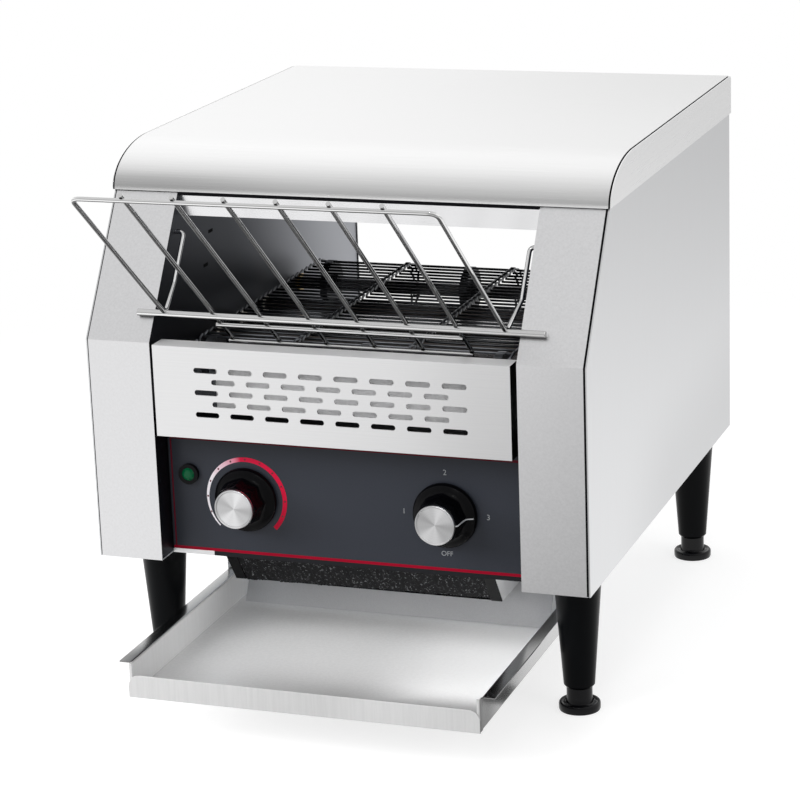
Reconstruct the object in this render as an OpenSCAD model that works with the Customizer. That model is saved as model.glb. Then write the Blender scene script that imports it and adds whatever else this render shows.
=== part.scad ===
// Conveyor toaster: a wire belt carries bread back between two sets of heaters,
// drops it on a slide, and the toast comes out over a tray below the controls.
// Millimetres. X is the width, Y runs from front to back, Z is up, the table is z = 0.

/* [Body] */
// Width over the outer side panels
body_w = 368; // [350:2:400]
// Depth from the front faces to the back of the rear panel
body_d = 418.5; // [412:0.5:470]
// Height of the top of the hood above the table
body_h = 393; // [388:1:410]
// Height of the underside above the table
under_z = 105.5; // [101:0.5:108]
// Height at which the front faces start to lean back
kink_z = 267.5; // [262:0.5:270]
// Height of the hood's sides
hood_h = 30; // [27:1:36]
// How far the sloping front faces lean back
slope_d = 63.5; // [58:0.5:68]
// Width of each front pillar
pillar_w = 49; // [47:0.5:54]
// Thickness of the stainless sheet
sheet = 1; // [0.8:0.1:1.5]
// Depth of the rounded nose of the hood
nose_d = 62; // [50:1:70]
// How far the hood stands in front of the pillars
hood_lap = 2.5; // [2:0.5:5]

/* [Front panels] */
// How far the slotted panel stands in front of the pillars
vent_proud = 3.2; // [2:0.2:6]
// Gap between the slotted panel and each pillar
vent_gap = 3.5; // [2:0.5:6]
// Height of the lower edge of the slotted panel
vent_z = 200.5; // [196:0.5:204]
// Depth of the top flange of the slotted panel
vent_flange = 16.7; // [12:0.1:20]
// Length of one slot
slot_l = 17.8; // [12:0.2:20]
// Height of one slot
slot_h = 3.9; // [3:0.1:5]
// Distance between slots in a row
slot_pitch = 26.2; // [22:0.2:27]
// Distance between rows of slots
slot_row = 8.05; // [7:0.05:9]
// Distance of the lowest row above the panel's lower edge
slot_low = 17.7; // [12:0.1:22]
// Slots in a long row
slot_n = 8; // [4:1:8]
// Rows of slots
slot_rows = 5; // [3:2:5]
// How far the control panel lies behind the pillars
panel_y = 20; // [16:0.5:24]
// Thickness of the printed film on the control panel
film = 0.4; // [0.2:0.1:0.6]
// Distance of each knob from the inner wall beside it
knob_side = 60; // [50:1:75]
// Height of the knobs
knob_z = 150.5; // [142:0.5:160]
// Distance of the indicator lamp from the inner wall
lamp_side = 16.5; // [13:0.5:23]
// Height of the indicator lamp
lamp_z = 166.5; // [150:0.5:180]
// Diameter of the indicator's bezel
lamp_d = 15; // [14:0.5:17]

/* [Knobs] */
// Diameter of the knob's skirt
skirt_d = 47; // [42:1:50]
// Diameter of the knob's grip
grip_d = 31; // [26:1:34]
// Diameter of the knob's metal cap
cap_d = 29; // [24:0.5:29]
// How far the knob stands out of the panel
knob_h = 26; // [20:1:30]
// Diameter of the spindle
spindle_d = 6; // [5:0.5:8]

/* [Belt] */
// Distance between the cross wires of the belt
belt_pitch = 9.4; // [8.8:0.1:9.8]
// Wires on one turn of a belt sprocket
belt_teeth = 12; // [12:2:12]
// Wires along one straight run
belt_run = 25; // [23:1:26]
// Distance of the belt's edges from the inner walls
belt_side = 15; // [13:1:21]
// Diameter of the belt's wires
belt_wire = 2; // [1.6:0.1:2.4]
// Height of the belt shafts
shaft_z = 242; // [240:0.5:245]
// Distance of the front shaft behind the front faces
idler_y = 52; // [51:0.5:56]
// Diameter of the belt shafts
shaft_d = 10; // [8:0.5:11]
// Width of a belt sprocket
sprocket_w = 6; // [4:0.5:8]

/* [Drive] */
// Pitch of the drive chain
chain_pitch = 6.35; // [6.2:0.05:6.6]
// Teeth of the two chain sprockets
chain_teeth = 12; // [12:2:12]
// Links along one straight side of the chain
chain_run = 13; // [11:1:13]
// Distance of the chain outside the inner wall
chain_off = 10; // [9:0.5:12]
// Diameter of the chain's rollers
roller_d = 3.3; // [3:0.1:3.6]

/* [Heaters] */
// Diameter of a heater tube
heater_d = 8; // [6:0.5:10]
// Distance between neighbouring heater tubes
heater_pitch = 45; // [38:1:48]
// Height of the upper heaters below the lower edge of the hood
heater_drop = 12; // [10:0.5:14]
// Height of the front lip of the upper reflector
lip_h = 18; // [12:1:22]

/* [Loading rack] */
// Diameter of the rack's wires
rack_wire = 3.2; // [2.6:0.1:4]
// Diameter of the rest rod
rod_d = 5; // [4:0.5:6]
// How far the rest rod reaches over each pillar
rod_over = 15; // [10:1:25]
// Distance of the rack's side wires from the inner walls
rack_side = 9.5; // [9:0.5:15]
// Length of the rack from the rest rod to the top bar
rack_len = 174; // [150:1:190]
// Length of the rack below the rest rod
rack_low = 41; // [30:1:42]
// Angle of the rack above the horizontal
rack_a = 39.6; // [36:0.2:44]
// Distance of the rest rod up the sloping faces
rod_up = 21.5; // [18:0.5:26]
// Distance of the rack's hooks behind the front faces
hook_y = 57; // [54:0.5:62]
// Height of the rack's hooks below the lower edge of the hood
hook_drop = 28; // [23:1:33]

/* [Toast tray] */
// Distance of the tray's side walls inside the inner walls
tray_side = 6; // [4:1:13]
// How far the tray reaches in front of the pillars
tray_front = 80; // [60:1:120]
// How far the tray reaches behind the front faces
tray_back = 196; // [180:1:210]
// Height of the tray's underside
tray_z = 32.5; // [24:0.5:36]
// Height of the tray's side walls
tray_h = 24; // [20:0.5:28]
// Height of the tray's front wall
tray_lip = 16.5; // [10:0.5:20]
// Width of the tray's flanges
tray_flange = 9; // [7:0.5:12]

/* [Legs] */
// Distance of the legs' centres from the sides
leg_side = 25; // [22:0.5:28]
// Distance of the front legs behind the front faces
leg_front = 54.7; // [45:0.1:60]
// Distance of the rear legs in front of the body's back
leg_rear = 28.2; // [24:0.1:40]
// Diameter of a leg at the top
leg_d = 33; // [30:1:36]
// Diameter of a leg at the bottom
leg_end_d = 20; // [19:0.5:24]
// Diameter of a foot
foot_d = 30; // [26:1:36]
// Height of a foot below the leg
foot_h = 18; // [14:0.5:22]

/* [Hidden] */
// Clearances: between fixed sheets, of parts that run in each other, of parts that move past
gap = 0.2;
run_gap = 0.05;
pass_gap = 0.4;
seam = 0.6;

hood_z = body_h - hood_h;
front_in = sheet + gap;
vent_top = kink_z - 0.5;
in_x = body_w / 2 - pillar_w;
plate_w = 2 * (in_x - 45);
out_x = in_x + sheet;
side_x = body_w / 2 - sheet;
face_x = side_x - seam;
base_top = under_z + sheet;
back_y = body_d - sheet;
slope_a = atan2(hood_z - kink_z, slope_d);
hood_top_in = body_h - sheet;
sheet_run = sheet / sin(slope_a);

// Loading rack: the rest rod lies on the sloping faces
rod_y = rod_up * cos(slope_a) - (rod_d / 2 + pass_gap) * sin(slope_a);
rod_z = kink_z + rod_up * sin(slope_a) + (rod_d / 2 + pass_gap) * cos(slope_a);
rod_l = 2 * (in_x + rod_over);
rack_w = 2 * (in_x - rack_side);
rack_stub = 3;
rack_n = 7;
rack_corner = 8;
wire_lift = rack_wire - 0.4;
hook_x = rack_w / 2 + rack_wire + 0.4;
hook_z = hood_z - hook_drop;
hook_in = 4;

// Overall reach, which centres the part on the frame's origin
rack_reach = rack_len * cos(rack_a) + rack_wire / 2 - rod_y;
gland_l = 16;
front_y = (rack_reach - body_d - gland_l) / 2;

// Belt and chain
belt_w = 2 * (in_x - belt_side);
belt_r = belt_pitch * belt_teeth / (2 * PI);
belt_top = shaft_z + belt_r + belt_wire / 2;
belt_bottom = shaft_z - belt_r - belt_wire / 2;
drive_y = idler_y + belt_run * belt_pitch;
belt_link = 1.6;
belt_cols = [-belt_w / 2 + 1, -belt_w * 0.18, belt_w * 0.18, belt_w / 2 - 1];
sprocket_x = [-108, 8, 108] * belt_w / 240;
hub_d = 16;
hub_l = sprocket_w + 8;
bush_wall = 2;
bush_flange = 3;
chain_r = chain_pitch * chain_teeth / (2 * PI);
chain_x = out_x + chain_off;
motor_z = shaft_z - chain_run * chain_pitch;
chain_plate = 0.8;
chain_inner = 3.8;
chain_h = 5.2;
tooth_w = 2.8;
shaft_out = chain_x + 5;
chain_hub_r = 7;
motor_shaft_d = 6;
motor_shaft_in = 10;
bracket_x = chain_x + 8;
bracket_t = 1.5;
bracket_bore = 12;
motor_w = side_x - bracket_x - bracket_t - 2;
motor_box = 60;
motor_gear_l = motor_w * 0.6;
motor_coil = [52, 60];
motor_d = 30;
plate_half = 40;

// Heaters
heater_mid = (idler_y + drive_y) / 2;
upper_z = hood_z - heater_drop;
heater_out = out_x + 14;
heater_pin = [3, 8];
insul_d = heater_d + 5;
insul_l = 8;
insul_rim = 2;
reflector_y = slope_d + hood_lap;
reflector_end = reflector_y + 2 * (heater_mid - reflector_y) + 60;
low_reflector_z = belt_bottom + belt_wire + 5;
low_reflector_d = belt_run * belt_pitch - 2 * belt_r - 22;

// Controls, guard, slide and tray
knob_x = in_x - knob_side;
lamp_x = in_x - lamp_side;
spindle_end = panel_y + 24;
knob_front = panel_y - film - knob_h + 3;
knob_back = panel_y - film - 1;
neck_d = 10;
lamp_neck_d = 12;
lens_d = 9.6;
lens_l = 8;
shield_y = 70;
guard_w = 205;
guard_top_y = 38;
guard_bottom_y = 56;
guard_back_y = 100;
guard_z = 75.5;
guard_flange = 8;
slide_w = 2 * (in_x - 15);
slide_front = [152, base_top + 2];
slide_foot = [111, tray_z + sheet + 2.5];
slide_a = 14;
slide_r = 24;
slide_y = back_y - 8;
slope_end_y = slide_y - slide_r * (1 - sin(slide_a));
slope_end_z = slide_front[1] + (slope_end_y - slide_front[0]) * tan(slide_a);
arc_z = slope_end_z + slide_r * cos(slide_a);
slide_top = arc_z + 2;
rear_sill = slide_top + 1;
rear_head = hood_z - lip_h;
rear_open_w = 2 * in_x - 2;
tray_w = 2 * (in_x - tray_side);
tray_top = tray_z + tray_h;
rail_front = 125;
rail_x = tray_w / 2 + tray_flange + pass_gap;

// Legs
leg_x = body_w / 2 - leg_side;
legs = [[-leg_x, leg_front], [leg_x, leg_front], [-leg_x, body_d - leg_rear], [leg_x, body_d - leg_rear]];
stem_d = 10;
stem_l = 24;
leg_bolt_d = 8;
leg_bolt_l = 16;

// Fan, under the slide
fan_y = body_d - 68.5;
fan_size = 92;
fan_h = 25;
fan_r = 43;
fan_hub_r = 17;
fan_pin_d = 5;
fan_arm = 3;
fan_slot_l = 60;

// Terminals and thermostat, on the left of the oven
terminal_y = body_d - 118.5;
thermostat_y = terminal_y;
thermostat_drop = 30;
thermostat_z = upper_z - thermostat_drop;

// Screws in the rear panel and the hood
rear_screw_x = [-1, -1 / 3, 1 / 3, 1] * (body_w / 2 - 34);
screw_d = 4;
screw_low = under_z + 8;
screw_high = hood_z + 8;

// Louvres in the rear panel
louvre_z = under_z + 22;
louvre_row = 12;
louvre_pitch = 60;
louvre_l = 44;
louvre_h = 5;

// Cable gland
gland_x = 24 - body_w / 2;
gland_z = 140;
gland_d = 12;
gland_nut_d = 20;
cord_d = 8;

$fn = 48;

// ---------- helpers ----------

// Shapes are drawn from the front faces back and then moved to the frame's origin
module place() translate([0, front_y, 0]) children();

module right_to_left() mirror([1, 0, 0]) children();

// An outline in Y and Z, drawn out along X
module along_x(points, x0, x1)
    translate([x0, 0, 0]) rotate([90, 0, 90]) linear_extrude(x1 - x0) polygon(points);

module box(x0, x1, y0, y1, z0, z1) translate([x0, y0, z0]) cube([x1 - x0, y1 - y0, z1 - z0]);

module round_x(x0, x1, y, z, d) translate([x0, y, z]) rotate([0, 90, 0]) cylinder(d = d, h = x1 - x0);

module round_y(x, y0, y1, z, d) translate([x, y0, z]) rotate([-90, 0, 0]) cylinder(d = d, h = y1 - y0);

// A round wire from point to point; a ball a hair larger than the wire rounds each bend
module wire(points, d) {
    for (i = [0 : len(points) - 2]) {
        span = points[i + 1] - points[i];
        translate(points[i])
            rotate([0, acos(span[2] / norm(span)), atan2(span[1], span[0])])
                cylinder(d = d, h = norm(span), $fn = 24);
    }
    for (i = [1 : 1 : len(points) - 2]) translate(points[i]) sphere(d = d + 0.1, $fn = 24);
}

// A slot with round ends, cut through along Y
module slot_y(x, z, l, h, y0, y1)
    for (dx = [-1, 1]) {
        round_y(x + dx * (l - h) / 2, y0, y1, z, h);
        box(x - (l - h) / 2, x + (l - h) / 2, y0, y1, z - h / 2, z + h / 2);
    }

// Points of a loop round two wheels of radius r that lie run pitches apart along the first axis
function loop_points(run, teeth, pitch, r) = concat(
    [for (i = [0 : run]) [i * pitch, r]],
    [for (i = [1 : teeth / 2 - 1]) [run * pitch + r * sin(i * 360 / teeth), r * cos(i * 360 / teeth)]],
    [for (i = [0 : run]) [(run - i) * pitch, -r]],
    [for (i = [1 : teeth / 2 - 1]) [-r * sin(i * 360 / teeth), -r * cos(i * 360 / teeth)]]);

// Bars along a loop of points in Y and Z, each from one point to the next
module loop_bars(points, x0, x1, h)
    for (i = [0 : len(points) - 1]) {
        a = points[i];
        b = points[(i + 1) % len(points)];
        translate([x0, a[0], a[1]]) rotate([atan2(b[1] - a[1], b[0] - a[0]), 0, 0])
            translate([0, 0, -h / 2]) cube([x1 - x0, norm(b - a), h]);
    }

// A wheel along X with round notches for the wires or rollers that lie on radius r
module notched_wheel(r, teeth, notch_d, rim, w, bore)
    difference() {
        rotate([0, 90, 0]) cylinder(r = r + rim, h = w, center = true);
        rotate([0, 90, 0]) cylinder(d = bore, h = w + 2, center = true);
        for (i = [0 : teeth - 1]) rotate([i * 360 / teeth, 0, 0])
            translate([0, 0, r]) rotate([0, 90, 0]) cylinder(d = notch_d, h = w + 2, center = true, $fn = 24);
    }

// ---------- body ----------

// Outline of a side, from the lower front corner round to the lower back corner
function side_outline(z0, z1, y1, inset) = [[inset, z0], [inset, kink_z],
    [slope_d + inset, hood_z], [slope_d + inset + 3.5, z1], [y1, z1], [y1, z0]];

// Holes for shafts, heaters and hooks through an inner wall
module wall_holes() {
    for (y = [idler_y, drive_y]) round_x(in_x - 1, out_x + 1, y, shaft_z, shaft_d + 2 * bush_wall);
    for (i = [-1 : 1]) {
        round_x(in_x - 1, out_x + 1, heater_mid + i * heater_pitch, upper_z, insul_d);
        round_x(in_x - 1, out_x + 1, heater_mid + i * heater_pitch, shaft_z, insul_d);
    }
    round_x(in_x - 1, out_x + 1, hook_y, hook_z, rack_wire + 2 * run_gap);
}

module side_frame() {
    corner = sheet * (tan(slope_a) - 1 / cos(slope_a));
    difference() {
        along_x(side_outline(base_top, hood_z + 3, back_y - gap, 0), in_x, out_x);
        wall_holes();
    }
    along_x([[0, under_z], [0, kink_z], [slope_d, hood_z], [slope_d + sheet_run, hood_z],
        [sheet, kink_z + corner], [sheet, under_z]], in_x, face_x);
}

module side_frame_right() place() color("silver") side_frame();

module side_frame_left() place() color("silver") right_to_left() side_frame();

module side_panel()
    along_x(side_outline(under_z, hood_z + 9, body_d, 0), side_x, side_x + sheet);

module side_panel_right() place() color("gainsboro") side_panel();

module side_panel_left() place() color("gainsboro") right_to_left() side_panel();

// Outline of the hood; its nose is a quarter of an ellipse
function hood_outline(inset, y1) = concat(
    [for (i = [0 : 20]) let (a = i * 90 / 20) [
        slope_d - hood_lap + nose_d - (nose_d - inset) * cos(a),
        hood_z + (body_h - hood_z - inset) * sin(a)]],
    [[y1, body_h - inset], [y1, hood_z]]);

module hood()
    place() color("whitesmoke") difference() {
        along_x(hood_outline(0, body_d + gap + sheet), -side_x - 2 * sheet - gap, side_x + 2 * sheet + gap);
        along_x(concat(hood_outline(sheet, body_d + gap),
            [[body_d + gap, hood_z - 1], [slope_d - hood_lap + sheet, hood_z - 1]]),
            -side_x - sheet - gap, side_x + sheet + gap);
        for (x = rear_screw_x) round_y(x, body_d, body_d + 3, screw_high, screw_d);
    }

module rear_panel()
    place() color("gainsboro") difference() {
        box(-side_x + gap, side_x - gap, back_y, body_d, under_z, screw_high + 8);
        box(-rear_open_w / 2, rear_open_w / 2, back_y - 1, body_d + 1, rear_sill, rear_head);
        round_y(gland_x, back_y - 1, body_d + 1, gland_z, gland_d);
        for (x = rear_screw_x) {
            round_y(x, back_y - 1, body_d + 1, screw_high, screw_d);
            round_y(x, back_y - 1, body_d + 1, screw_low, screw_d);
        }
        for (i = [0 : 4], x = [-1 : 1])
            slot_y(x * louvre_pitch, louvre_z + i * louvre_row, louvre_l, louvre_h, back_y - 1, body_d + 1);
    }

module base_plate()
    place() color("silver") difference() {
        union() {
            box(-face_x, -in_x, front_in, back_y - gap, under_z, base_top);
            box(in_x, face_x, front_in, back_y - gap, under_z, base_top);
            box(-in_x, in_x, panel_y, back_y - gap, under_z, base_top);
        }
        box(-slide_w / 2 - 1, slide_w / 2 + 1, guard_back_y, slide_front[0] + 3, under_z - 1, base_top + 1);
        for (p = legs) translate([p[0], p[1], under_z - 1]) cylinder(d = leg_bolt_d, h = sheet + 2);
        for (i = [-3 : 3]) translate([0, fan_y + i * 11, under_z - 1]) linear_extrude(sheet + 2)
            square([fan_slot_l - 6 * abs(i), 5], center = true);
    }

// ---------- front panels ----------

module vent_panel()
    place() color("gainsboro") {
        for (s = [-1, 1]) {
            x = s * (in_x - vent_gap - sheet / 2);
            box(x - sheet / 2, x + sheet / 2, -vent_proud, vent_flange - vent_proud, vent_z, vent_top);
        }
        vent_front();
    }

module vent_front()
    difference() {
        along_x([[-vent_proud, vent_z], [-vent_proud, vent_top],
            [vent_flange - vent_proud, vent_top], [vent_flange - vent_proud, vent_top - sheet],
            [-vent_proud + sheet, vent_top - sheet], [-vent_proud + sheet, vent_z + sheet],
            [panel_y - film - gap, vent_z + sheet], [panel_y - film - gap, vent_z]],
            -in_x + vent_gap, in_x - vent_gap);
        for (row = [0 : slot_rows - 1]) {
            n = slot_n - row % 2;
            for (i = [0 : n - 1])
                slot_y((i - (n - 1) / 2) * slot_pitch, vent_z + slot_low + row * slot_row,
                    slot_l, slot_h, -vent_proud - 1, 1);
        }
    }

module vent_backplate()
    place() color("silver") {
        y0 = vent_flange - vent_proud - 3;
        box(-plate_w / 2, plate_w / 2, y0, y0 + sheet, vent_z + slot_low, vent_top - sheet);
        for (s = [-1, 1]) {
            x = s * (plate_w / 2 - 4);
            box(x - 4, x + 4, 6 - vent_proud, y0, vent_top - 2 * sheet, vent_top - sheet);
        }
    }

module panel_holes(y0, y1) {
    for (s = [-1, 1]) round_y(s * knob_x, y0, y1, knob_z, neck_d);
    round_y(-lamp_x, y0, y1, lamp_z, lamp_neck_d);
}

module control_panel()
    place() color("dimgray") difference() {
        box(-in_x + gap, in_x - gap, panel_y, panel_y + sheet, base_top, vent_z + sheet);
        panel_holes(panel_y - 1, panel_y + sheet + 1);
    }

module fascia_film()
    place() color("darkslategray") difference() {
        box(-in_x + 1, in_x - 1, panel_y - film, panel_y, base_top + 1.5, vent_z - 1);
        panel_holes(panel_y - 1, panel_y + sheet);
    }

module control_shield()
    place() color("silver") along_x([[panel_y + sheet + gap, vent_z], [shield_y, vent_z],
        [shield_y, base_top], [shield_y - sheet, base_top], [shield_y - sheet, vent_z - sheet],
        [panel_y + sheet + gap, vent_z - sheet]], -in_x + gap, in_x - gap);

// ---------- knobs, switches and lamp ----------

module knob(x) {
    h = knob_back - knob_front;
    translate([x, knob_back, knob_z]) rotate([90, 0, 0]) rotate_extrude()
        polygon([[0, 0], [skirt_d / 2, 0], [skirt_d / 2, 2], [skirt_d / 2 - 1.5, 4],
            [grip_d / 2 + 2, 6], [grip_d / 2, 9], [grip_d / 2 - 1, h], [0, h]]);
    for (i = [0 : 7]) translate([x, knob_back - 6, knob_z]) rotate([90, i * 45 + 22.5, 0])
        translate([grip_d / 2 - 1, 0, 0]) cylinder(d = 4, h = h - 8, $fn = 24);
    round_y(x, knob_back - 1, spindle_end, knob_z, spindle_d);
}

module knob_cap(x)
    translate([x, knob_front, knob_z]) rotate([90, 0, 0]) rotate_extrude()
        polygon([[0, 0], [cap_d / 2, 0], [cap_d / 2, 1.5], [cap_d / 2 - 0.7, 2.2],
            [cap_d / 2 - 1.6, 1.8], [0, 1.4]]);

module colour_knob() place() color("black") knob(-knob_x);

module colour_knob_cap() place() color("silver") knob_cap(-knob_x);

module selector_knob() place() color("black") knob(knob_x);

module selector_knob_cap() place() color("silver") knob_cap(knob_x);

// A threaded neck through the panel, its nut behind the panel, and a body that takes the spindle
module control_body(x, w, h, depth) {
    y0 = panel_y + sheet;
    difference() {
        union() {
            round_y(x, panel_y - film, y0 + 3, knob_z, neck_d);
            box(x - w / 2, x + w / 2, y0 + 2, y0 + 2 + depth, knob_z - h / 2, knob_z + h / 2);
            round_y(x, y0, y0 + 2, knob_z, neck_d + 4);
        }
        round_y(x, panel_y - film - 1, spindle_end + 1, knob_z, spindle_d + 2 * run_gap);
    }
}

module speed_control()
    place() color("steelblue") {
        control_body(-knob_x, 28, 28, 28);
        for (i = [-1 : 1]) box(-knob_x + i * 8 - 1.5, -knob_x + i * 8 + 1.5, panel_y + sheet + 30,
            panel_y + sheet + 36, knob_z - 10, knob_z - 9);
    }

module selector_switch()
    place() color("dimgray") {
        control_body(knob_x, 44, 44, 34);
        for (i = [-1 : 1], j = [-1, 1]) box(knob_x + i * 14 - 3, knob_x + i * 14 + 3,
            panel_y + sheet + 36, panel_y + sheet + 41, knob_z + j * 16 - 0.5, knob_z + j * 16 + 0.5);
    }

module lamp_bezel()
    place() color("black") difference() {
        union() {
            round_y(-lamp_x, panel_y - film - 3, panel_y - film, lamp_z, lamp_d);
            round_y(-lamp_x, panel_y - film, panel_y + 20, lamp_z, lamp_neck_d);
        }
        round_y(-lamp_x, panel_y - film - 4, panel_y + lens_l, lamp_z, lens_d);
    }

module lamp_lens()
    place() color("green") translate([-lamp_x, panel_y + lens_l, lamp_z]) rotate([90, 0, 0])
        rotate_extrude() polygon([[0, 0], [lens_d / 2, 0], [lens_d / 2, lens_l + film + 3],
            [lens_d / 2 - 1, lens_l + film + 4.2], [lens_d / 2 - 2.4, lens_l + film + 4.8],
            [0, lens_l + film + 5]]);

// ---------- belt, shafts and drive ----------

function belt_points() = [for (p = loop_points(belt_run, belt_teeth, belt_pitch, belt_r))
    p + [idler_y, shaft_z]];

module conveyor_belt()
    place() color("gray") {
        for (p = belt_points()) round_x(-belt_w / 2, belt_w / 2, p[0], p[1], belt_wire, $fn = 16);
        for (x = belt_cols) loop_bars(belt_points(), x - 1, x + 1, belt_link);
    }

module belt_sprockets(y)
    for (x = sprocket_x) translate([x, y, shaft_z]) {
        notched_wheel(belt_r, belt_teeth, belt_wire + 0.6, 0.9, sprocket_w, shaft_d);
        difference() {
            rotate([0, 90, 0]) cylinder(d = hub_d, h = hub_l, center = true);
            rotate([0, 90, 0]) cylinder(d = shaft_d, h = hub_l + 2, center = true);
            rotate([0, 90, 0]) cylinder(d = hub_d + 1, h = sprocket_w, center = true);
        }
    }

module drive_sprockets() place() color("dimgray") belt_sprockets(drive_y);

module idler_sprockets() place() color("dimgray") belt_sprockets(idler_y);

module drive_shaft() place() color("silver") round_x(-out_x - 6, shaft_out, drive_y, shaft_z, shaft_d);

module idler_shaft() place() color("silver") round_x(-out_x - 6, out_x + 6, idler_y, shaft_z, shaft_d);

module shaft_bushes()
    place() color("goldenrod") for (s = [-1, 1], y = [idler_y, drive_y]) scale([s, 1, 1])
        difference() {
            union() {
                round_x(in_x - 2, out_x + 4, y, shaft_z, shaft_d + 2 * bush_wall);
                round_x(out_x, out_x + 2, y, shaft_z, shaft_d + 2 * bush_wall + 2 * bush_flange);
            }
            round_x(in_x - 3, out_x + 5, y, shaft_z, shaft_d + 2 * run_gap);
        }

module chain_wheel(z, bore)
    translate([chain_x, drive_y, z]) {
        notched_wheel(chain_r, chain_teeth, roller_d + 0.4, 0.35, tooth_w, bore);
        difference() {
            translate([tooth_w / 2, 0, 0]) rotate([0, 90, 0]) cylinder(r = chain_hub_r, h = 3.4);
            rotate([0, 90, 0]) cylinder(d = bore, h = 20, center = true);
        }
    }

module chain_sprocket() place() color("gray") chain_wheel(shaft_z, shaft_d);

module motor_sprocket()
    place() color("gray") {
        chain_wheel(motor_z, motor_shaft_d);
        round_x(chain_x - tooth_w / 2 - 2, bracket_x + bracket_t + motor_shaft_in, drive_y, motor_z,
            motor_shaft_d);
    }

// The chain's points: first axis up from the motor, second axis across
function chain_points() = [for (p = loop_points(chain_run, chain_teeth, chain_pitch, chain_r))
    [drive_y + p[1], motor_z + p[0]]];

module drive_chain()
    place() color("darkgray") {
        for (p = chain_points()) round_x(chain_x - chain_inner / 2 - chain_plate,
            chain_x + chain_inner / 2 + chain_plate, p[0], p[1], roller_d, $fn = 16);
        for (s = [-1, 1]) {
            x = chain_x + s * (chain_inner + chain_plate) / 2;
            loop_bars(chain_points(), x - chain_plate / 2, x + chain_plate / 2, chain_h);
        }
    }

module motor_bracket()
    place() color("silver") {
        difference() {
            box(bracket_x, bracket_x + bracket_t, drive_y - plate_half, drive_y + plate_half, base_top,
                motor_z + motor_box / 2 + 2);
            round_x(bracket_x - 1, bracket_x + bracket_t + 1, drive_y, motor_z, bracket_bore);
        }
        box(bracket_x + bracket_t, side_x - 3, drive_y - plate_half, drive_y + plate_half, base_top,
            base_top + bracket_t);
    }

module gear_motor()
    place() color("slategray") {
        x0 = bracket_x + bracket_t;
        difference() {
            box(x0, x0 + motor_gear_l, drive_y - motor_box / 2, drive_y + motor_box / 2,
                motor_z - motor_box / 2, motor_z + motor_box / 2);
            round_x(x0 - 1, x0 + motor_shaft_in + 1, drive_y, motor_z, motor_shaft_d + 2 * run_gap);
        }
        coil_z = motor_z - motor_box * 0.07;
        box(x0 + motor_gear_l, x0 + motor_w, drive_y - motor_coil[0] / 2, drive_y + motor_coil[0] / 2,
            coil_z - motor_coil[1] / 2, coil_z + motor_coil[1] / 2);
        round_x(x0 + motor_gear_l, x0 + motor_w + 0.5, drive_y, coil_z, motor_d);
    }

// ---------- heaters and reflectors ----------

module heater_tubes(z)
    for (i = [-1 : 1]) {
        y = heater_mid + i * heater_pitch;
        round_x(-heater_out + heater_pin[1] / 2, heater_out - heater_pin[1] / 2, y, z, heater_d);
        round_x(-heater_out - heater_pin[1] / 2, heater_out + heater_pin[1] / 2, y, z, heater_pin[0]);
    }

module upper_heaters() place() color("tan") heater_tubes(upper_z);

module lower_heaters() place() color("tan") heater_tubes(shaft_z);

module heater_insulators()
    place() color("ivory") for (s = [-1, 1], i = [-1 : 1], z = [upper_z, shaft_z]) scale([s, 1, 1])
        difference() {
            y = heater_mid + i * heater_pitch;
            union() {
                round_x(in_x - 1, out_x + insul_l, y, z, insul_d);
                round_x(out_x, out_x + insul_rim, y, z, insul_d + 2 * insul_rim);
            }
            round_x(in_x - 2, out_x + insul_l + 1, y, z, heater_d);
        }

module upper_reflector()
    place() color("gainsboro") along_x([[reflector_y, hood_z - lip_h], [reflector_y, hood_z - gap],
        [reflector_end, hood_z - gap], [reflector_end, hood_z - lip_h],
        [reflector_end - sheet, hood_z - lip_h], [reflector_end - sheet, hood_z - gap - sheet],
        [reflector_y + sheet, hood_z - gap - sheet], [reflector_y + sheet, hood_z - lip_h]],
        -in_x + gap, in_x - gap);

module lower_reflector() {
    y0 = heater_mid - low_reflector_d / 2;
    y1 = heater_mid + low_reflector_d / 2;
    place() color("silver") along_x([[y0, low_reflector_z + 6], [y0, low_reflector_z],
        [y1, low_reflector_z], [y1, low_reflector_z + 6], [y1 - sheet, low_reflector_z + 6],
        [y1 - sheet, low_reflector_z + sheet], [y0 + sheet, low_reflector_z + sheet],
        [y0 + sheet, low_reflector_z + 6]], -in_x + gap, in_x - gap);
}

// ---------- slide, guard, rails and tray ----------

// Line of the slide from its foot, up over the sill and along the slope to the rear panel
function slide_line(d) = concat([slide_foot + [d, 0], slide_front + [d * 0.7, -d * 0.7]],
    [for (i = [0 : 8]) let (a = slide_a + i * (90 - slide_a) / 8)
        [slide_y - slide_r + (slide_r + d) * sin(a), arc_z - (slide_r + d) * cos(a)]],
    [[slide_y + d, slide_top]]);

function reversed(list) = [for (i = [len(list) - 1 : -1 : 0]) list[i]];

module toast_slide()
    place() color("silver") {
        along_x(concat(slide_line(0), reversed(slide_line(sheet))), -slide_w / 2, slide_w / 2);
        for (s = [-1, 1]) {
            x = s * (in_x - gap + slide_w / 2 - 1) / 2;
            half = (in_x - gap - slide_w / 2 + 1) / 2;
            box(x - half, x + half, slide_y, slide_y + sheet, slide_top - 14, slide_top);
        }
    }

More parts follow.
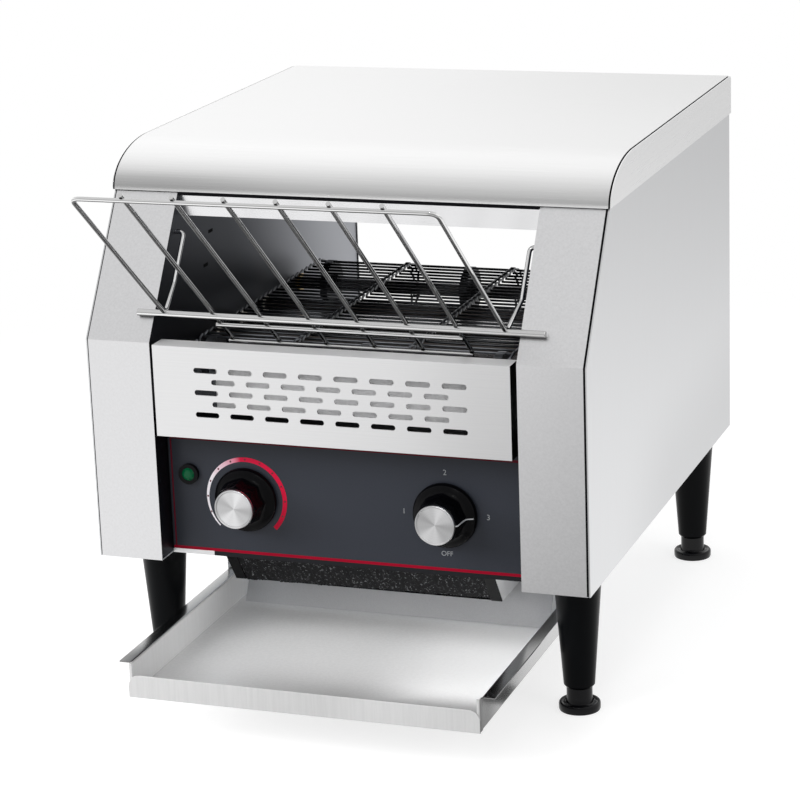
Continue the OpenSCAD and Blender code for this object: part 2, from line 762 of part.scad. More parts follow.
module exit_guard()
    place() color("gray") {
        along_x([[guard_bottom_y + 1, guard_z], [guard_back_y - gap, guard_z],
            [guard_back_y - gap, under_z], [guard_back_y - gap - sheet, under_z],
            [guard_back_y - gap - sheet, guard_z + sheet], [guard_bottom_y + 1, guard_z + sheet]],
            -guard_w / 2 + sheet, guard_w / 2 - sheet);
        for (s = [-1, 1]) {
            x = s * (guard_w - sheet) / 2;
            along_x([[guard_bottom_y, guard_z], [guard_back_y - gap, guard_z],
                [guard_back_y - gap, under_z], [guard_top_y - 3, under_z]], x - sheet / 2, x + sheet / 2);
            xf = s * (guard_w - guard_flange) / 2;
            along_x([[guard_bottom_y, guard_z], [guard_bottom_y + 1.2, guard_z],
                [guard_top_y - 1.8, under_z], [guard_top_y - 3, under_z]],
                xf - guard_flange / 2, xf + guard_flange / 2);
        }
    }

module guard_strip() {
    lean = (guard_bottom_y - guard_top_y + 3) / (under_z - guard_z);
    place() color("black") along_x([[guard_bottom_y + 1.4, guard_z + sheet + gap],
        [guard_bottom_y + 3.4, guard_z + sheet + gap],
        [guard_bottom_y + 3.4 - lean * (under_z - guard_z - sheet - gap), under_z],
        [guard_bottom_y + 1.4 - lean * (under_z - guard_z - sheet - gap), under_z]],
        -guard_w / 2 + sheet + gap, guard_w / 2 - sheet - gap);
}

// A hanger from the base with a channel for the tray's flange
module tray_rail() {
    lip = tray_flange - 1;
    flange_z = tray_top - sheet;
    box(rail_x, rail_x + sheet, rail_front, tray_back, flange_z - pass_gap - sheet, under_z);
    box(rail_x - lip, rail_x, rail_front, tray_back, flange_z - pass_gap - sheet, flange_z - pass_gap);
    box(rail_x - lip, rail_x, rail_front, tray_back, tray_top + pass_gap, tray_top + pass_gap + sheet);
    box(rail_x - 6, rail_x, rail_front, tray_back, under_z - sheet, under_z);
}

module tray_rail_right() place() color("silver") tray_rail();

module tray_rail_left() place() color("silver") right_to_left() tray_rail();

module toast_tray() {
    w = tray_w / 2;
    place() color("lightgray") {
        box(-w, w, -tray_front, tray_back, tray_z, tray_z + sheet);
        for (s = [-1, 1]) {
            xw = s * (w - sheet / 2);
            box(xw - sheet / 2, xw + sheet / 2, -tray_front, tray_back, tray_z, tray_top);
            xf = s * (w + tray_flange / 2);
            box(xf - tray_flange / 2, xf + tray_flange / 2, -tray_front, tray_back,
                tray_top - sheet, tray_top);
        }
        translate([0, -tray_front + sheet, tray_z]) rotate([90, 0, 0]) linear_extrude(sheet) union() {
            translate([-w, 0]) square([2 * w, tray_lip - 5]);
            translate([-w + 5, 0]) square([2 * w - 10, tray_lip]);
            for (s = [-1, 1]) translate([s * (w - 5), tray_lip - 5]) circle(r = 5);
        }
    }
}

// ---------- loading rack ----------

// A point at distance s up the rack from the rest rod, lifted by n towards the bread
function rack_point(x, s, n) = [x, rod_y - s * cos(rack_a) + n * sin(rack_a),
    rod_z + s * sin(rack_a) + n * cos(rack_a)];

// Half of the outer wire, from the rest rod up one side and round the corner
function rack_edge(s) = [rack_point(s * rack_w / 2, 0, 0),
    rack_point(s * rack_w / 2, rack_len - rack_corner, 0),
    rack_point(s * (rack_w / 2 - rack_corner * 0.3), rack_len - rack_corner * 0.3, 0),
    rack_point(s * (rack_w / 2 - rack_corner), rack_len, 0)];

module rack_hook() {
    bend = [hook_x, hook_y - 22, rod_z + (hook_z - rod_z) * 0.33];
    wire([rack_point(rack_w / 2, 0, 0), bend, [hook_x, hook_y, hook_z],
        [out_x + hook_in, hook_y, hook_z]], rack_wire);
}

module loading_rack()
    place() color("silver") {
        wire(concat(rack_edge(1), reversed(rack_edge(-1))), rack_wire);
        rack_hook();
        right_to_left() rack_hook();
        round_x(-rod_l / 2, rod_l / 2, rod_y, rod_z, rod_d);
        inner = rack_w / 2 - rack_w / rack_n;
        for (s = [14, rack_low]) {
            p = rack_point(0, -s, 0);
            round_x(-inner - rack_wire / 2, inner + rack_wire / 2, p[1], p[2], rack_wire, $fn = 24);
        }
        for (i = [1 : rack_n - 1]) {
            x = -rack_w / 2 + i * rack_w / rack_n;
            wire([rack_point(x, -rack_low - 1, wire_lift), rack_point(x, rack_len + rack_stub, wire_lift)],
                rack_wire);
        }
    }

// ---------- legs and feet ----------

module leg(i)
    place() color([0.05, 0.05, 0.06]) translate([legs[i][0], legs[i][1], 0]) difference() {
        rotate_extrude() polygon([[0, foot_h], [leg_end_d / 2 - 1, foot_h], [leg_end_d / 2, foot_h + 1],
            [leg_d / 2 - 0.4, under_z - 4], [leg_d / 2, under_z - 3], [leg_d / 2, under_z], [0, under_z]]);
        translate([0, 0, foot_h - 1]) cylinder(d = stem_d + 2 * run_gap, h = stem_l + 4);
        translate([0, 0, under_z - leg_bolt_l]) cylinder(d = leg_bolt_d, h = leg_bolt_l + 1);
    }

module leg_front_left() leg(0);

module leg_front_right() leg(1);

module leg_rear_left() leg(2);

module leg_rear_right() leg(3);

module foot(i)
    place() color([0.05, 0.05, 0.06]) translate([legs[i][0], legs[i][1], 0]) {
        rotate_extrude() polygon([[0, 0], [foot_d / 2 - 1, 0], [foot_d / 2, 1], [foot_d / 2, 4],
            [foot_d / 2 - 1.5, 6], [foot_d / 2 - 5, 8.5], [leg_end_d / 2 - 2.5, 11],
            [leg_end_d / 2 - 2.2, foot_h - pass_gap], [0, foot_h - pass_gap]]);
        translate([0, 0, foot_h - 1]) cylinder(d = stem_d, h = stem_l);
    }

module foot_front_left() foot(0);

module foot_front_right() foot(1);

module foot_rear_left() foot(2);

module foot_rear_right() foot(3);

module leg_bolts()
    place() color("silver") for (p = legs) translate([p[0], p[1], 0]) {
        translate([0, 0, under_z - leg_bolt_l + 1]) cylinder(d = leg_bolt_d, h = leg_bolt_l + sheet);
        translate([0, 0, base_top]) cylinder(d = 14, h = 5, $fn = 6);
    }

// ---------- small parts ----------

module fan_housing()
    place() color("black") translate([0, fan_y, base_top]) difference() {
        union() {
            difference() {
                translate([-fan_size / 2, -fan_size / 2, 0]) cube([fan_size, fan_size, fan_h]);
                translate([0, 0, -1]) cylinder(r = fan_r, h = fan_h + 2);
            }
            cylinder(r = fan_hub_r, h = fan_arm);
            for (a = [45, 135]) rotate([0, 0, a]) translate([-fan_r - 2, -fan_arm, 0])
                cube([2 * fan_r + 4, 2 * fan_arm, fan_arm]);
        }
        translate([0, 0, -1]) cylinder(d = fan_pin_d + 2 * run_gap, h = fan_arm + 2);
    }

module fan_impeller()
    place() color("dimgray") translate([0, fan_y, base_top]) {
        hub_z = fan_arm + 1;
        translate([0, 0, hub_z - fan_arm]) cylinder(d = fan_pin_d, h = fan_arm + 1);
        translate([0, 0, hub_z]) cylinder(r = fan_hub_r, h = fan_h - hub_z - 2);
        for (i = [0 : 6]) rotate([0, 0, i * 360 / 7])
            translate([fan_hub_r - 1, 0, (hub_z + fan_h - 2) / 2])
                rotate([40, 0, 0]) translate([0, -10, -0.75]) cube([fan_r - fan_hub_r - 1, 20, 1.5]);
    }

module cable_gland()
    place() color("black") difference() {
        union() {
            round_y(gland_x, body_d, body_d + gland_l - 6, gland_z, gland_nut_d);
            round_y(gland_x, body_d + gland_l - 6, body_d + gland_l, gland_z, 14);
            round_y(gland_x, back_y - 8, body_d, gland_z, gland_d);
            round_y(gland_x, back_y - 5, back_y, gland_z, gland_nut_d);
        }
        round_y(gland_x, back_y - 9, body_d + gland_l + 1, gland_z, cord_d);
    }

module terminal_block()
    place() color("ivory") for (i = [0 : 3])
        translate([-out_x - 36, terminal_y + i * 13, base_top]) difference() {
            cube([24, 12.6, 16]);
            for (dx = [6, 18]) translate([dx, 6.3, 8]) cylinder(d = 5, h = 9);
        }

module thermostat()
    place() color("tan") {
        round_x(-out_x - 9, -out_x, thermostat_y, thermostat_z, 16);
        box(-out_x - 1.5, -out_x, thermostat_y - 16, thermostat_y + 16, thermostat_z - 5, thermostat_z + 5);
    }

module pan_screw(x, y, z) {
    round_y(x, y, y + 2, z, 7);
    round_y(x, y - 8, y, z, screw_d);
}

module hood_screws()
    place() color("silver") for (x = rear_screw_x) pan_screw(x, body_d + gap + sheet, screw_high);

module rear_screws()
    place() color("silver") for (x = rear_screw_x) pan_screw(x, body_d, screw_low);

base_plate();
side_frame_left();
side_frame_right();
side_panel_left();
side_panel_right();
hood();
rear_panel();
upper_reflector();
lower_reflector();
upper_heaters();
lower_heaters();
heater_insulators();
toast_slide();
vent_panel();
vent_backplate();
control_panel();
fascia_film();
control_shield();
exit_guard();
guard_strip();
tray_rail_left();
tray_rail_right();
leg_front_left();
leg_front_right();
leg_rear_left();
leg_rear_right();
shaft_bushes();
motor_bracket();
gear_motor();
speed_control();
selector_switch();
terminal_block();
thermostat();
lamp_bezel();
lamp_lens();
fan_housing();
cable_gland();
hood_screws();
rear_screws();
leg_bolts();
conveyor_belt();
drive_chain();
toast_tray();
loading_rack();
drive_shaft();
drive_sprockets();
chain_sprocket();
idler_shaft();
idler_sprockets();
motor_sprocket();
colour_knob();
colour_knob_cap();
selector_knob();
selector_knob_cap();
fan_impeller();
foot_front_left();
foot_front_right();
foot_rear_left();
foot_rear_right();
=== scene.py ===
import math
import random

import bmesh
import bpy
from mathutils import Matrix, Vector


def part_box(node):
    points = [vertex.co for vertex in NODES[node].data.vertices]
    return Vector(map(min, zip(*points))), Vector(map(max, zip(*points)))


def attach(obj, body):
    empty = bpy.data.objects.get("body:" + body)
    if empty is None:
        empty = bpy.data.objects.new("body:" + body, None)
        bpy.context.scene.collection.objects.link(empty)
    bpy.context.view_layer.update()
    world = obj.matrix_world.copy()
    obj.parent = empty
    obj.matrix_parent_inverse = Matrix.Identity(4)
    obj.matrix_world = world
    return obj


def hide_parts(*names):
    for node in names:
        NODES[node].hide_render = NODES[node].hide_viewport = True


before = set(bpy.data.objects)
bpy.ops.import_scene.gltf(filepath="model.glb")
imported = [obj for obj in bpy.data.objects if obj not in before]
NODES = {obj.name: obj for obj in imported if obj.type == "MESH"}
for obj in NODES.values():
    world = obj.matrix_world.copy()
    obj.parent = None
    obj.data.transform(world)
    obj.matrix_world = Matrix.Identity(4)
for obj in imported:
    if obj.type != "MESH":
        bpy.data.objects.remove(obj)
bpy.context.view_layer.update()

MM = 0.001
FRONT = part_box("side_frame_right")[0].y
HOUSING = "housing"


def at(x, y, z):
    """A point given in mm, with y counted from the front faces back."""
    return Vector((x * MM, FRONT + y * MM, z * MM))


# ---------- values shared with the part's source: mm, radians and counts ----------

IN_X, SIDE_X = 135.0, 183.0
KINK_Z, HOOD_Z, TOP_Z = 267.5, 363.0, 393.0
SLOPE_D, BODY_D = 63.5, 418.5
HOOD_FRONT, NOSE_D = 61.0, 62.0
UNDER_Z = 105.5
FILM_Y = 19.6
KNOB_X, KNOB_Z = 75.0, 150.5
KNOB_FRONT, KNOB_BACK = -3.4, 18.6
ROD_Y, ROD_Z = 9.4895, 287.009
RACK_A = math.radians(39.6)
BELT_Y, BELT_Z, BELT_PITCH, BELT_RUN, BELT_TEETH = 52.0, 242.0, 9.4, 25, 12
BELT_R = BELT_PITCH * BELT_TEETH / (2 * math.pi)
GUARD_HALF, GUARD_Y, GUARD_Z = 102.5, 56.0, 75.5
TRAY_FRONT, TRAY_BACK, TRAY_Z, TRAY_TOP, TRAY_W = -80.0, 196.0, 32.5, 56.5, 129.0
LEGS = {"front_left": (-159, 54.7), "front_right": (159, 54.7),
        "rear_left": (-159, 390.3), "rear_right": (159, 390.3)}


# ---------- nodes of the materials and the world ----------

class Nodes:
    """A node tree, with a short call for each kind of node that is used more than once."""

    def __init__(self, tree):
        self.tree = tree

    def node(self, kind, **props):
        made = self.tree.nodes.new(kind)
        for key, value in props.items():
            setattr(made, key, value)
        return made

    def link(self, source, target):
        self.tree.links.new(source, target)

    def feed(self, target, value):
        """Link another node's output to an input, or set the input to a constant."""
        if isinstance(value, bpy.types.NodeSocket):
            self.link(value, target)
        else:
            target.default_value = value

    def maths(self, operation, a, b=0.0):
        made = self.node("ShaderNodeMath", operation=operation)
        self.feed(made.inputs[0], a)
        self.feed(made.inputs[1], b)
        return made.outputs[0]

    def plus(self, a, b):
        return self.maths("ADD", a, b)

    def minus(self, a, b):
        return self.maths("SUBTRACT", a, b)

    def times(self, a, b):
        return self.maths("MULTIPLY", a, b)

    def larger(self, a, b):
        return self.maths("MAXIMUM", a, b)

    def split(self, vector):
        """The X, Y and Z of a vector."""
        made = self.node("ShaderNodeSeparateXYZ")
        self.link(vector, made.inputs[0])
        return made.outputs

    def place(self):
        """The surface's place in the frame, in metres."""
        return self.split(self.node("ShaderNodeNewGeometry").outputs["Position"])

    def own_place(self):
        """The surface's place as its own object counts it, which moves with the object."""
        return self.split(self.node("ShaderNodeTexCoord").outputs["Object"])

    def facing(self):
        """The way the surface faces."""
        return self.split(self.node("ShaderNodeNewGeometry").outputs["True Normal"])

    def ranged(self, value, low, high, at_low, at_high, kind="SMOOTHSTEP"):
        """A number that goes from at_low to at_high while value goes from low to high."""
        made = self.node("ShaderNodeMapRange", interpolation_type=kind)
        for i, number in enumerate((low, high, at_low, at_high), 1):
            made.inputs[i].default_value = number
        self.link(value, made.inputs["Value"])
        return made.outputs["Result"]

    def blend(self, factor, a, b, kind="RGBA"):
        """A mixture of two colours, or with kind FLOAT of two numbers."""
        first, second, result = (6, 7, 2) if kind == "RGBA" else (2, 3, 0)
        made = self.node("ShaderNodeMix", data_type=kind)
        self.link(factor, made.inputs[0])
        self.feed(made.inputs[first], a)
        self.feed(made.inputs[second], b)
        return made.outputs[result]

    def ramp(self, value, stops):
        """A colour ramp from (position, colour) pairs."""
        made = self.node("ShaderNodeValToRGB")
        self.link(value, made.inputs["Fac"])
        elements = made.color_ramp.elements
        for i, (position, color) in enumerate(stops):
            element = elements[i] if i < 2 else elements.new(position)
            element.position, element.color = position, (*color, 1)
        return made.outputs["Color"]

    def strength_ramp(self, value, stops):
        """A ramp of (position, strength) pairs, with strengths up to 2."""
        greys = [(position, [strength / 2] * 3) for position, strength in stops]
        return self.times(self.ramp(value, greys), 2.0)

    def mixed_shader(self, factor, a, b):
        made = self.node("ShaderNodeMixShader")
        for source, target in zip((factor, a, b), made.inputs):
            self.link(source, target)
        return made.outputs[0]


class Shader(Nodes):
    """A material with one Principled shader."""

    def __init__(self, name, color, metallic=0.0, rough=0.5, **more):
        self.mat = bpy.data.materials.new(name)
        self.mat.use_nodes = True
        super().__init__(self.mat.node_tree)
        self.bsdf = self.tree.nodes["Principled BSDF"]
        self.set("Base Color", (*color, 1.0))
        self.set("Metallic", metallic)
        self.set("Roughness", rough)
        for key, value in more.items():
            self.set(key.replace("_", " "), value)
        self.mat.diffuse_color = (*color, 1.0)

    def set(self, socket, value):
        """Set one of the shader's inputs to a constant, or link an output to it."""
        self.feed(self.bsdf.inputs[socket], value)

    def source(self, socket):
        """The output that is linked to one of the shader's inputs."""
        return self.bsdf.inputs[socket].links[0].from_socket

    def scale_color(self, factor):
        """Multiply the base colour by a number that varies over the surface."""
        made = self.node("ShaderNodeVectorMath", operation="SCALE")
        self.link(self.source("Base Color"), made.inputs[0])
        self.link(factor, made.inputs["Scale"])
        self.set("Base Color", made.outputs[0])

    def noise(self, scale, detail=3.0, rough=0.6):
        """Noise fixed to the object, with a scale for each axis."""
        coord = self.node("ShaderNodeTexCoord")
        mapping = self.node("ShaderNodeMapping")
        mapping.inputs["Scale"].default_value = scale
        self.link(coord.outputs["Object"], mapping.inputs["Vector"])
        made = self.node("ShaderNodeTexNoise")
        made.inputs["Scale"].default_value = 1.0
        made.inputs["Detail"].default_value = detail
        made.inputs["Roughness"].default_value = rough
        self.link(mapping.outputs["Vector"], made.inputs["Vector"])
        return made.outputs["Fac"]

    def span(self, noise, low, high):
        """Spread the middle half of a noise over a range."""
        return self.ranged(noise, 0.25, 0.75, low, high, "LINEAR")

    def tone(self, noise, color, spread):
        """Vary the base colour with a noise."""
        dark = [c * (1 - spread) for c in color]
        light = [min(1, c * (1 + spread)) for c in color]
        self.set("Base Color", self.blend(self.span(noise, 0, 1), (*dark, 1), (*light, 1)))

    def bump(self, value, strength, distance=0.0002):
        made = self.node("ShaderNodeBump")
        made.inputs["Strength"].default_value = strength
        made.inputs["Distance"].default_value = distance
        self.link(value, made.inputs["Height"])
        self.set("Normal", made.outputs["Normal"])


# ---------- materials: places within their ranges are in metres ----------

GRAIN = {"X": (14, 1600, 1600), "Y": (1600, 14, 1600), "Z": (1600, 1600, 14)}


def brushed(name, color, rough, axis, tone=0.05, vary=0.05, bump=0.04):
    """Sheet metal with a grain that runs along one axis."""
    shader = Shader(name, color, 1.0, rough)
    fine = shader.noise(GRAIN[axis])
    shader.tone(fine, color, tone)
    shader.set("Roughness", shader.span(fine, rough - vary, rough + vary))
    shader.bump(fine, bump)
    return shader


def satin(name, color, rough, metallic=1.0, scale=260, tone=0.06, vary=0.05, bump=0.03, **more):
    """A finish that is mottled alike in every direction."""
    shader = Shader(name, color, metallic, rough, **more)
    grain = shader.noise((scale, scale, scale))
    shader.tone(grain, color, tone)
    shader.set("Roughness", shader.span(grain, max(0.02, rough - vary), rough + vary))
    shader.bump(grain, bump)
    return shader


def hood_material():
    """Brushed sheet, with painted shade on the steep part of the nose to the left and on the top to the back.
    """
    shader = brushed("hood_steel", (0.84, 0.84, 0.84), 0.25, "X", 0.03, 0.03, 0.02)
    place = shader.place()
    steep = shader.ranged(shader.facing()["Z"], 0.5, 0.8, 1.0, 0.0)
    left = shader.ranged(place["X"], -0.15, -0.02, 0.2, 0.0)
    back = shader.times(shader.ranged(place["Y"], -0.05, 0.28, 0.0, 0.1),
                        shader.ranged(place["X"], -0.1, 0.17, 0.25, 1.0))
    # painted shade: the steep nose darker to the left, the top darker to the back
    painted_hood_shade = shader.plus(shader.times(steep, left), back)
    shader.scale_color(shader.minus(1.0, painted_hood_shade))
    return shader


def chrome_material():
    """Polished wire, with painted reflection in its colour: bands of dark and light, as a room leaves them
    along a thin round, set by which way the surface faces.
    """
    shader = Shader("chrome", (0.66, 0.67, 0.68), 1.0, 0.06)
    height = shader.ranged(shader.facing()["Z"], -1.0, 1.0, 0.0, 1.0)
    # painted reflection: the colour's strength by how far up the surface faces
    painted_reflection_bands = [(0.0, 0.08), (0.12, 0.16), (0.24, 0.85), (0.43, 0.98), (0.50, 0.36), (0.56, 0.42),
             (0.68, 0.92), (0.84, 0.94), (1.0, 0.5)]
    shader.set("Base Color", shader.strength_ramp(height, painted_reflection_bands))
    return shader


def belt_material():
    """Dark wire, with painted light that makes it brighter over the front roller."""
    shader = satin("belt_metal", (0.10, 0.104, 0.112), 0.34, tone=0.15)
    # painted light: up to 3.4 times brighter over the front roller
    shader.scale_color(shader.ranged(shader.place()["Y"], FRONT + 0.055, FRONT + 0.075, 3.4, 1.0))
    return shader


def frame_material():
    """Mottled pillars with painted light where they slope; on the oven's inner walls a painted dark
    reflection, near black at the front and low down and grey further back and up, with a roughness of 0.45.
    """
    shader = satin("pillar_steel", (0.80, 0.80, 0.81), 0.34, 1.0, 620, 0.055, 0.06, 0.05)
    place, facing = shader.place(), shader.facing()
    # painted light: up to 15 per cent brighter where the pillars slope
    shader.scale_color(shader.ranged(facing["Z"], 0.3, 0.5, 1.0, 1.15))
    within = shader.maths("LESS_THAN", shader.maths("ABSOLUTE", place["X"]), (IN_X + 1.5) * MM)
    sideways = shader.maths("GREATER_THAN", shader.maths("ABSOLUTE", facing["X"]), 0.9)
    inner = shader.times(within, sideways)
    # painted dark reflection on the inner walls, lighter further back and up
    depth = shader.plus(place["Y"], shader.times(place["Z"], 0.5))
    wall = shader.blend(shader.ranged(depth, FRONT + 0.30, FRONT + 0.53, 0.0, 1.0),
                        (0.030, 0.034, 0.045, 1), (0.44, 0.45, 0.48, 1))
    shader.set("Base Color", shader.blend(inner, shader.source("Base Color"), wall))
    shader.set("Roughness", shader.blend(inner, shader.source("Roughness"), 0.45, "FLOAT"))
    return shader


def spun_material():
    """Turned aluminium: rings about Y, an anisotropic highlight that runs out from the centre, and a painted
    sheen of bright and dark sectors in its colour.
    """
    color = (0.86, 0.86, 0.87)
    shader = Shader("spun_aluminium", color, 1.0, 0.3, Anisotropic=0.85)
    shader.set("Tangent", shader.node("ShaderNodeTangent", direction_type="RADIAL", axis="Y").outputs[0])
    flat = shader.node("ShaderNodeVectorMath", operation="MULTIPLY")
    flat.inputs[1].default_value = (1, 0, 1)
    radius = shader.node("ShaderNodeVectorMath", operation="LENGTH")
    rings = shader.node("ShaderNodeTexNoise", noise_dimensions="1D")
    rings.inputs["Scale"].default_value = 2600
    shader.link(shader.node("ShaderNodeTexCoord").outputs["Object"], flat.inputs[0])
    shader.link(flat.outputs[0], radius.inputs[0])
    shader.link(radius.outputs["Value"], rings.inputs["W"])
    shader.tone(rings.outputs["Fac"], color, 0.06)
    shader.bump(rings.outputs["Fac"], 0.05)
    # painted sheen: bright and dark sectors about the centre, fixed to the cap
    place = shader.own_place()
    angle = shader.maths("ARCTAN2", place["Z"], place["X"])
    turned = shader.times(shader.minus(angle, math.radians(72)), 2.0)
    finer = shader.maths("COSINE", shader.times(turned, 3.5))
    painted_sheen_lobes = shader.plus(shader.maths("COSINE", turned), shader.times(finer, 0.3))
    shader.scale_color(shader.plus(shader.times(painted_sheen_lobes, 0.17), 0.80))
    return shader


def arc_material():
    """White at the low end of the dial, then pink, then red."""
    shader = Shader("dial_arc", (0.7, 0.02, 0.06), 0.0, 0.45, Specular_IOR_Level=0.1)
    place = shader.own_place()
    angle = shader.maths("ARCTAN2", place["X"], place["Z"])
    stops = [(0.0, (0.78, 0.76, 0.80)), (0.33, (0.80, 0.76, 0.80)), (0.42, (0.72, 0.42, 0.50)),
             (0.455, (0.70, 0.22, 0.31)), (0.48, (0.58, 0.012, 0.05)), (1.0, (0.50, 0.006, 0.03))]
    shader.set("Base Color", shader.ramp(shader.ranged(angle, -math.pi, math.pi, 0.0, 1.0, "LINEAR"), stops))
    return shader


def vent_material():
    """Brushed sheet, less metallic where it faces up with painted shade there, painted shade nearly black on
    the edges of its slots, and a little painted shade at its right end.
    """
    shader = brushed("vent_steel", (0.80, 0.80, 0.805), 0.36, "X", 0.03, 0.04, 0.03)
    facing = shader.facing()
    upward = shader.maths("GREATER_THAN", facing["Z"], 0.9)
    sideways = shader.maths("GREATER_THAN", shader.maths("ABSOLUTE", facing["X"]), 0.4)
    edge = shader.larger(sideways, shader.maths("LESS_THAN", facing["Z"], -0.4))
    # painted shade: a little darker at the right end, darker where it faces up, nearly black on the slots'
    # edges
    shader.scale_color(shader.ranged(shader.place()["X"], 0.04, 0.11, 1.08, 1.0))
    shader.scale_color(shader.minus(1.0, shader.times(upward, 0.25)))
    shader.scale_color(shader.minus(1.0, shader.times(edge, 0.97)))
    shader.set("Metallic", shader.minus(1.0, shader.times(upward, 0.7)))
    return shader


def side_material():
    """Brushed sheet, with painted shade low down towards the back."""
    shader = brushed("side_steel", (0.76, 0.765, 0.775), 0.33, "Z", 0.03, 0.04, 0.03)
    place = shader.place()
    # painted shade: darker low down towards the back
    low = shader.times(shader.ranged(place["Z"], 0.11, 0.21, 1.0, 0.0),
                       shader.ranged(place["Y"], -0.1, 0.08, 0.0, 0.14))
    shader.scale_color(shader.minus(1.0, low))
    return shader


def tray_material():
    """Pressed sheet: matt inside with a shine to the front left, polished on its flanges and lip; its colour
    holds painted light to the right and on the inner face of the left wall, painted shade near the lip and on
    the lip to the right, and a dark painted reflection towards the front on its flanges and outer faces.
    """
    shader = Shader("tray_metal", (0.92, 0.92, 0.93), 0.3, 0.42)
    shader.bump(shader.noise((380, 380, 380)), 0.015)
    place, facing = shader.own_place(), shader.facing()
    x, y = place["X"], place["Y"]
    flange = shader.maths("GREATER_THAN", shader.maths("ABSOLUTE", x), (TRAY_W - 0.2) * MM)
    lip = shader.maths("LESS_THAN", facing["Y"], -0.9)
    shine = shader.times(shader.ranged(y, FRONT - 0.06, FRONT + 0.03, 0.55, 0.05),
                         shader.ranged(x, 0.02, 0.09, 1.0, 0.0))
    shine = shader.larger(shine, shader.ranged(y, FRONT - 0.05, FRONT - 0.02, 0.5, 0.0))
    polish = shader.minus(shader.larger(flange, lip), shader.times(lip, 0.5))
    shader.set("Metallic", shader.larger(shine, polish))
    shader.set("Roughness", shader.ranged(flange, 0.0, 1.0, 0.42, 0.2))

    streaks = shader.ranged(shader.noise((420, 420, 25)), 0.25, 0.75, -0.025, 0.025)
    # painted light: brighter to the right
    level = shader.plus(shader.ranged(x, 0.0, 0.09, 0.78, 1.0), streaks)
    # painted light on the inner face of the left wall
    painted_left_wall_light = shader.maths("GREATER_THAN", facing["X"], 0.9)
    level = shader.plus(level, shader.times(painted_left_wall_light, 0.2))
    # painted shade on the lip, darker to the right
    level = shader.minus(level, shader.times(lip, shader.ranged(x, 0.0, 0.11, 0.07, 0.24)))
    # painted shade on the floor near the lip, deeper to the right
    shade = shader.times(shader.ranged(y, FRONT - 0.06, FRONT - 0.01, 1.0, 0.0),
                         shader.ranged(x, -0.11, 0.11, 0.0, 0.52))
    inside = shader.times(level, shader.larger(lip, shader.minus(1.0, shade)))
    # dark painted reflection on the flanges and outer faces towards the front
    outer_with_painted_reflection = shader.ranged(y, FRONT - 0.065, FRONT - 0.035, 0.24, 0.50)
    shader.set("Base Color", shader.blend(flange, inside, outer_with_painted_reflection))
    return shader


def speckled_material():
    """Black bristles with pale flecks along their roots."""
    shader = Shader("bristles", (0.012, 0.012, 0.014), 0.0, 0.6, Specular_IOR_Level=0.15)
    grain = shader.noise((520, 520, 300), 4, 0.75)
    shader.set("Base Color", shader.ramp(grain, [(0.57, (0.006, 0.006, 0.007)), (0.70, (0.30, 0.31, 0.32))]))
    shader.bump(grain, 0.5, 0.0004)
    return shader


hood_steel = hood_material()
skirt_steel = brushed("skirt_steel", (0.98, 0.98, 0.985), 0.30, "Y", 0.02, 0.04, 0.03)
skirt_steel.set("Metallic", 0.9)
pillar_steel = frame_material()
side_steel = side_material()
vent_steel = vent_material()
guard_steel = brushed("guard_steel", (0.80, 0.80, 0.805), 0.36, "X", 0.03, 0.04, 0.03)
guard_steel.set("Metallic", 0.7)
rear_steel = brushed("rear_steel", (0.76, 0.765, 0.77), 0.34, "X", 0.04, 0.05, 0.03)
inner_steel = brushed("inner_steel", (0.56, 0.57, 0.59), 0.28, "X", 0.06, 0.06, 0.04)
slide_steel = brushed("slide_steel", (0.66, 0.665, 0.68), 0.42, "Y", 0.06, 0.06, 0.04)
plate_steel = satin("plate_steel", (0.90, 0.90, 0.91), 0.45, 0.35, 300, 0.06)
zinc = satin("zinc_sheet", (0.60, 0.62, 0.64), 0.42, scale=120, tone=0.1)
bright = brushed("reflector_sheet", (0.85, 0.85, 0.86), 0.24, "X", 0.03, 0.03, 0.02)
tray_metal = tray_material()
heater_metal = satin("heater_sheath", (0.17, 0.15, 0.14), 0.42, tone=0.12)
belt_metal = belt_material()
chrome = chrome_material()
zinc_steel = satin("plated_steel", (0.62, 0.62, 0.63), 0.3, scale=500)
bushing = satin("sintered_bush", (0.66, 0.50, 0.26), 0.38)
# near black, for painted shade in seams, under the hood's hem and in slots
painted_shade_black = Shader("painted_shade_seam", (0.004, 0.004, 0.005), 0.0, 0.7, Specular_IOR_Level=0.05)
film_ink = satin("film_ink", (0.026, 0.029, 0.038), 0.4, 0.0, 900, 0.08, 0.03, 0.02,
                 Specular_IOR_Level=0.25)
maroon = Shader("maroon_line", (0.12, 0.005, 0.014), 0.0, 0.4, Specular_IOR_Level=0.1)
crimson = Shader("crimson_line", (0.26, 0.002, 0.016), 0.0, 0.4, Specular_IOR_Level=0.1)
tick_ink = Shader("tick_ink", (0.10, 0.004, 0.01), 0.0, 0.4)
pale_edge = Shader("pale_edge", (0.80, 0.72, 0.74), 0.0, 0.4)
white_ink = Shader("white_ink", (0.50, 0.51, 0.53), 0.0, 0.45)
gloss_black = Shader("gloss_black", (0.001, 0.001, 0.0015), 0.0, 0.24, Specular_IOR_Level=0.12)
leg_black = satin("leg_black", (0.002, 0.0024, 0.003), 0.3, 0.0, 700, 0.05, 0.03, 0.01,
                  Specular_IOR_Level=0.07)
foot_black = Shader("foot_black", (0.003, 0.003, 0.004), 0.0, 0.1, Specular_IOR_Level=0.22)
matt_black = satin("matt_black", (0.012, 0.012, 0.014), 0.5, 0.0, 600, 0.1, 0.05, 0.05,
                   Specular_IOR_Level=0.15)
lens_green = Shader("lens_green", (0.001, 0.085, 0.03), 0.0, 0.2, Specular_IOR_Level=0.2)
bristles = speckled_material()
pale_thread = Shader("pale_thread", (0.20, 0.23, 0.25), 0.0, 0.6)
spun = spun_material()
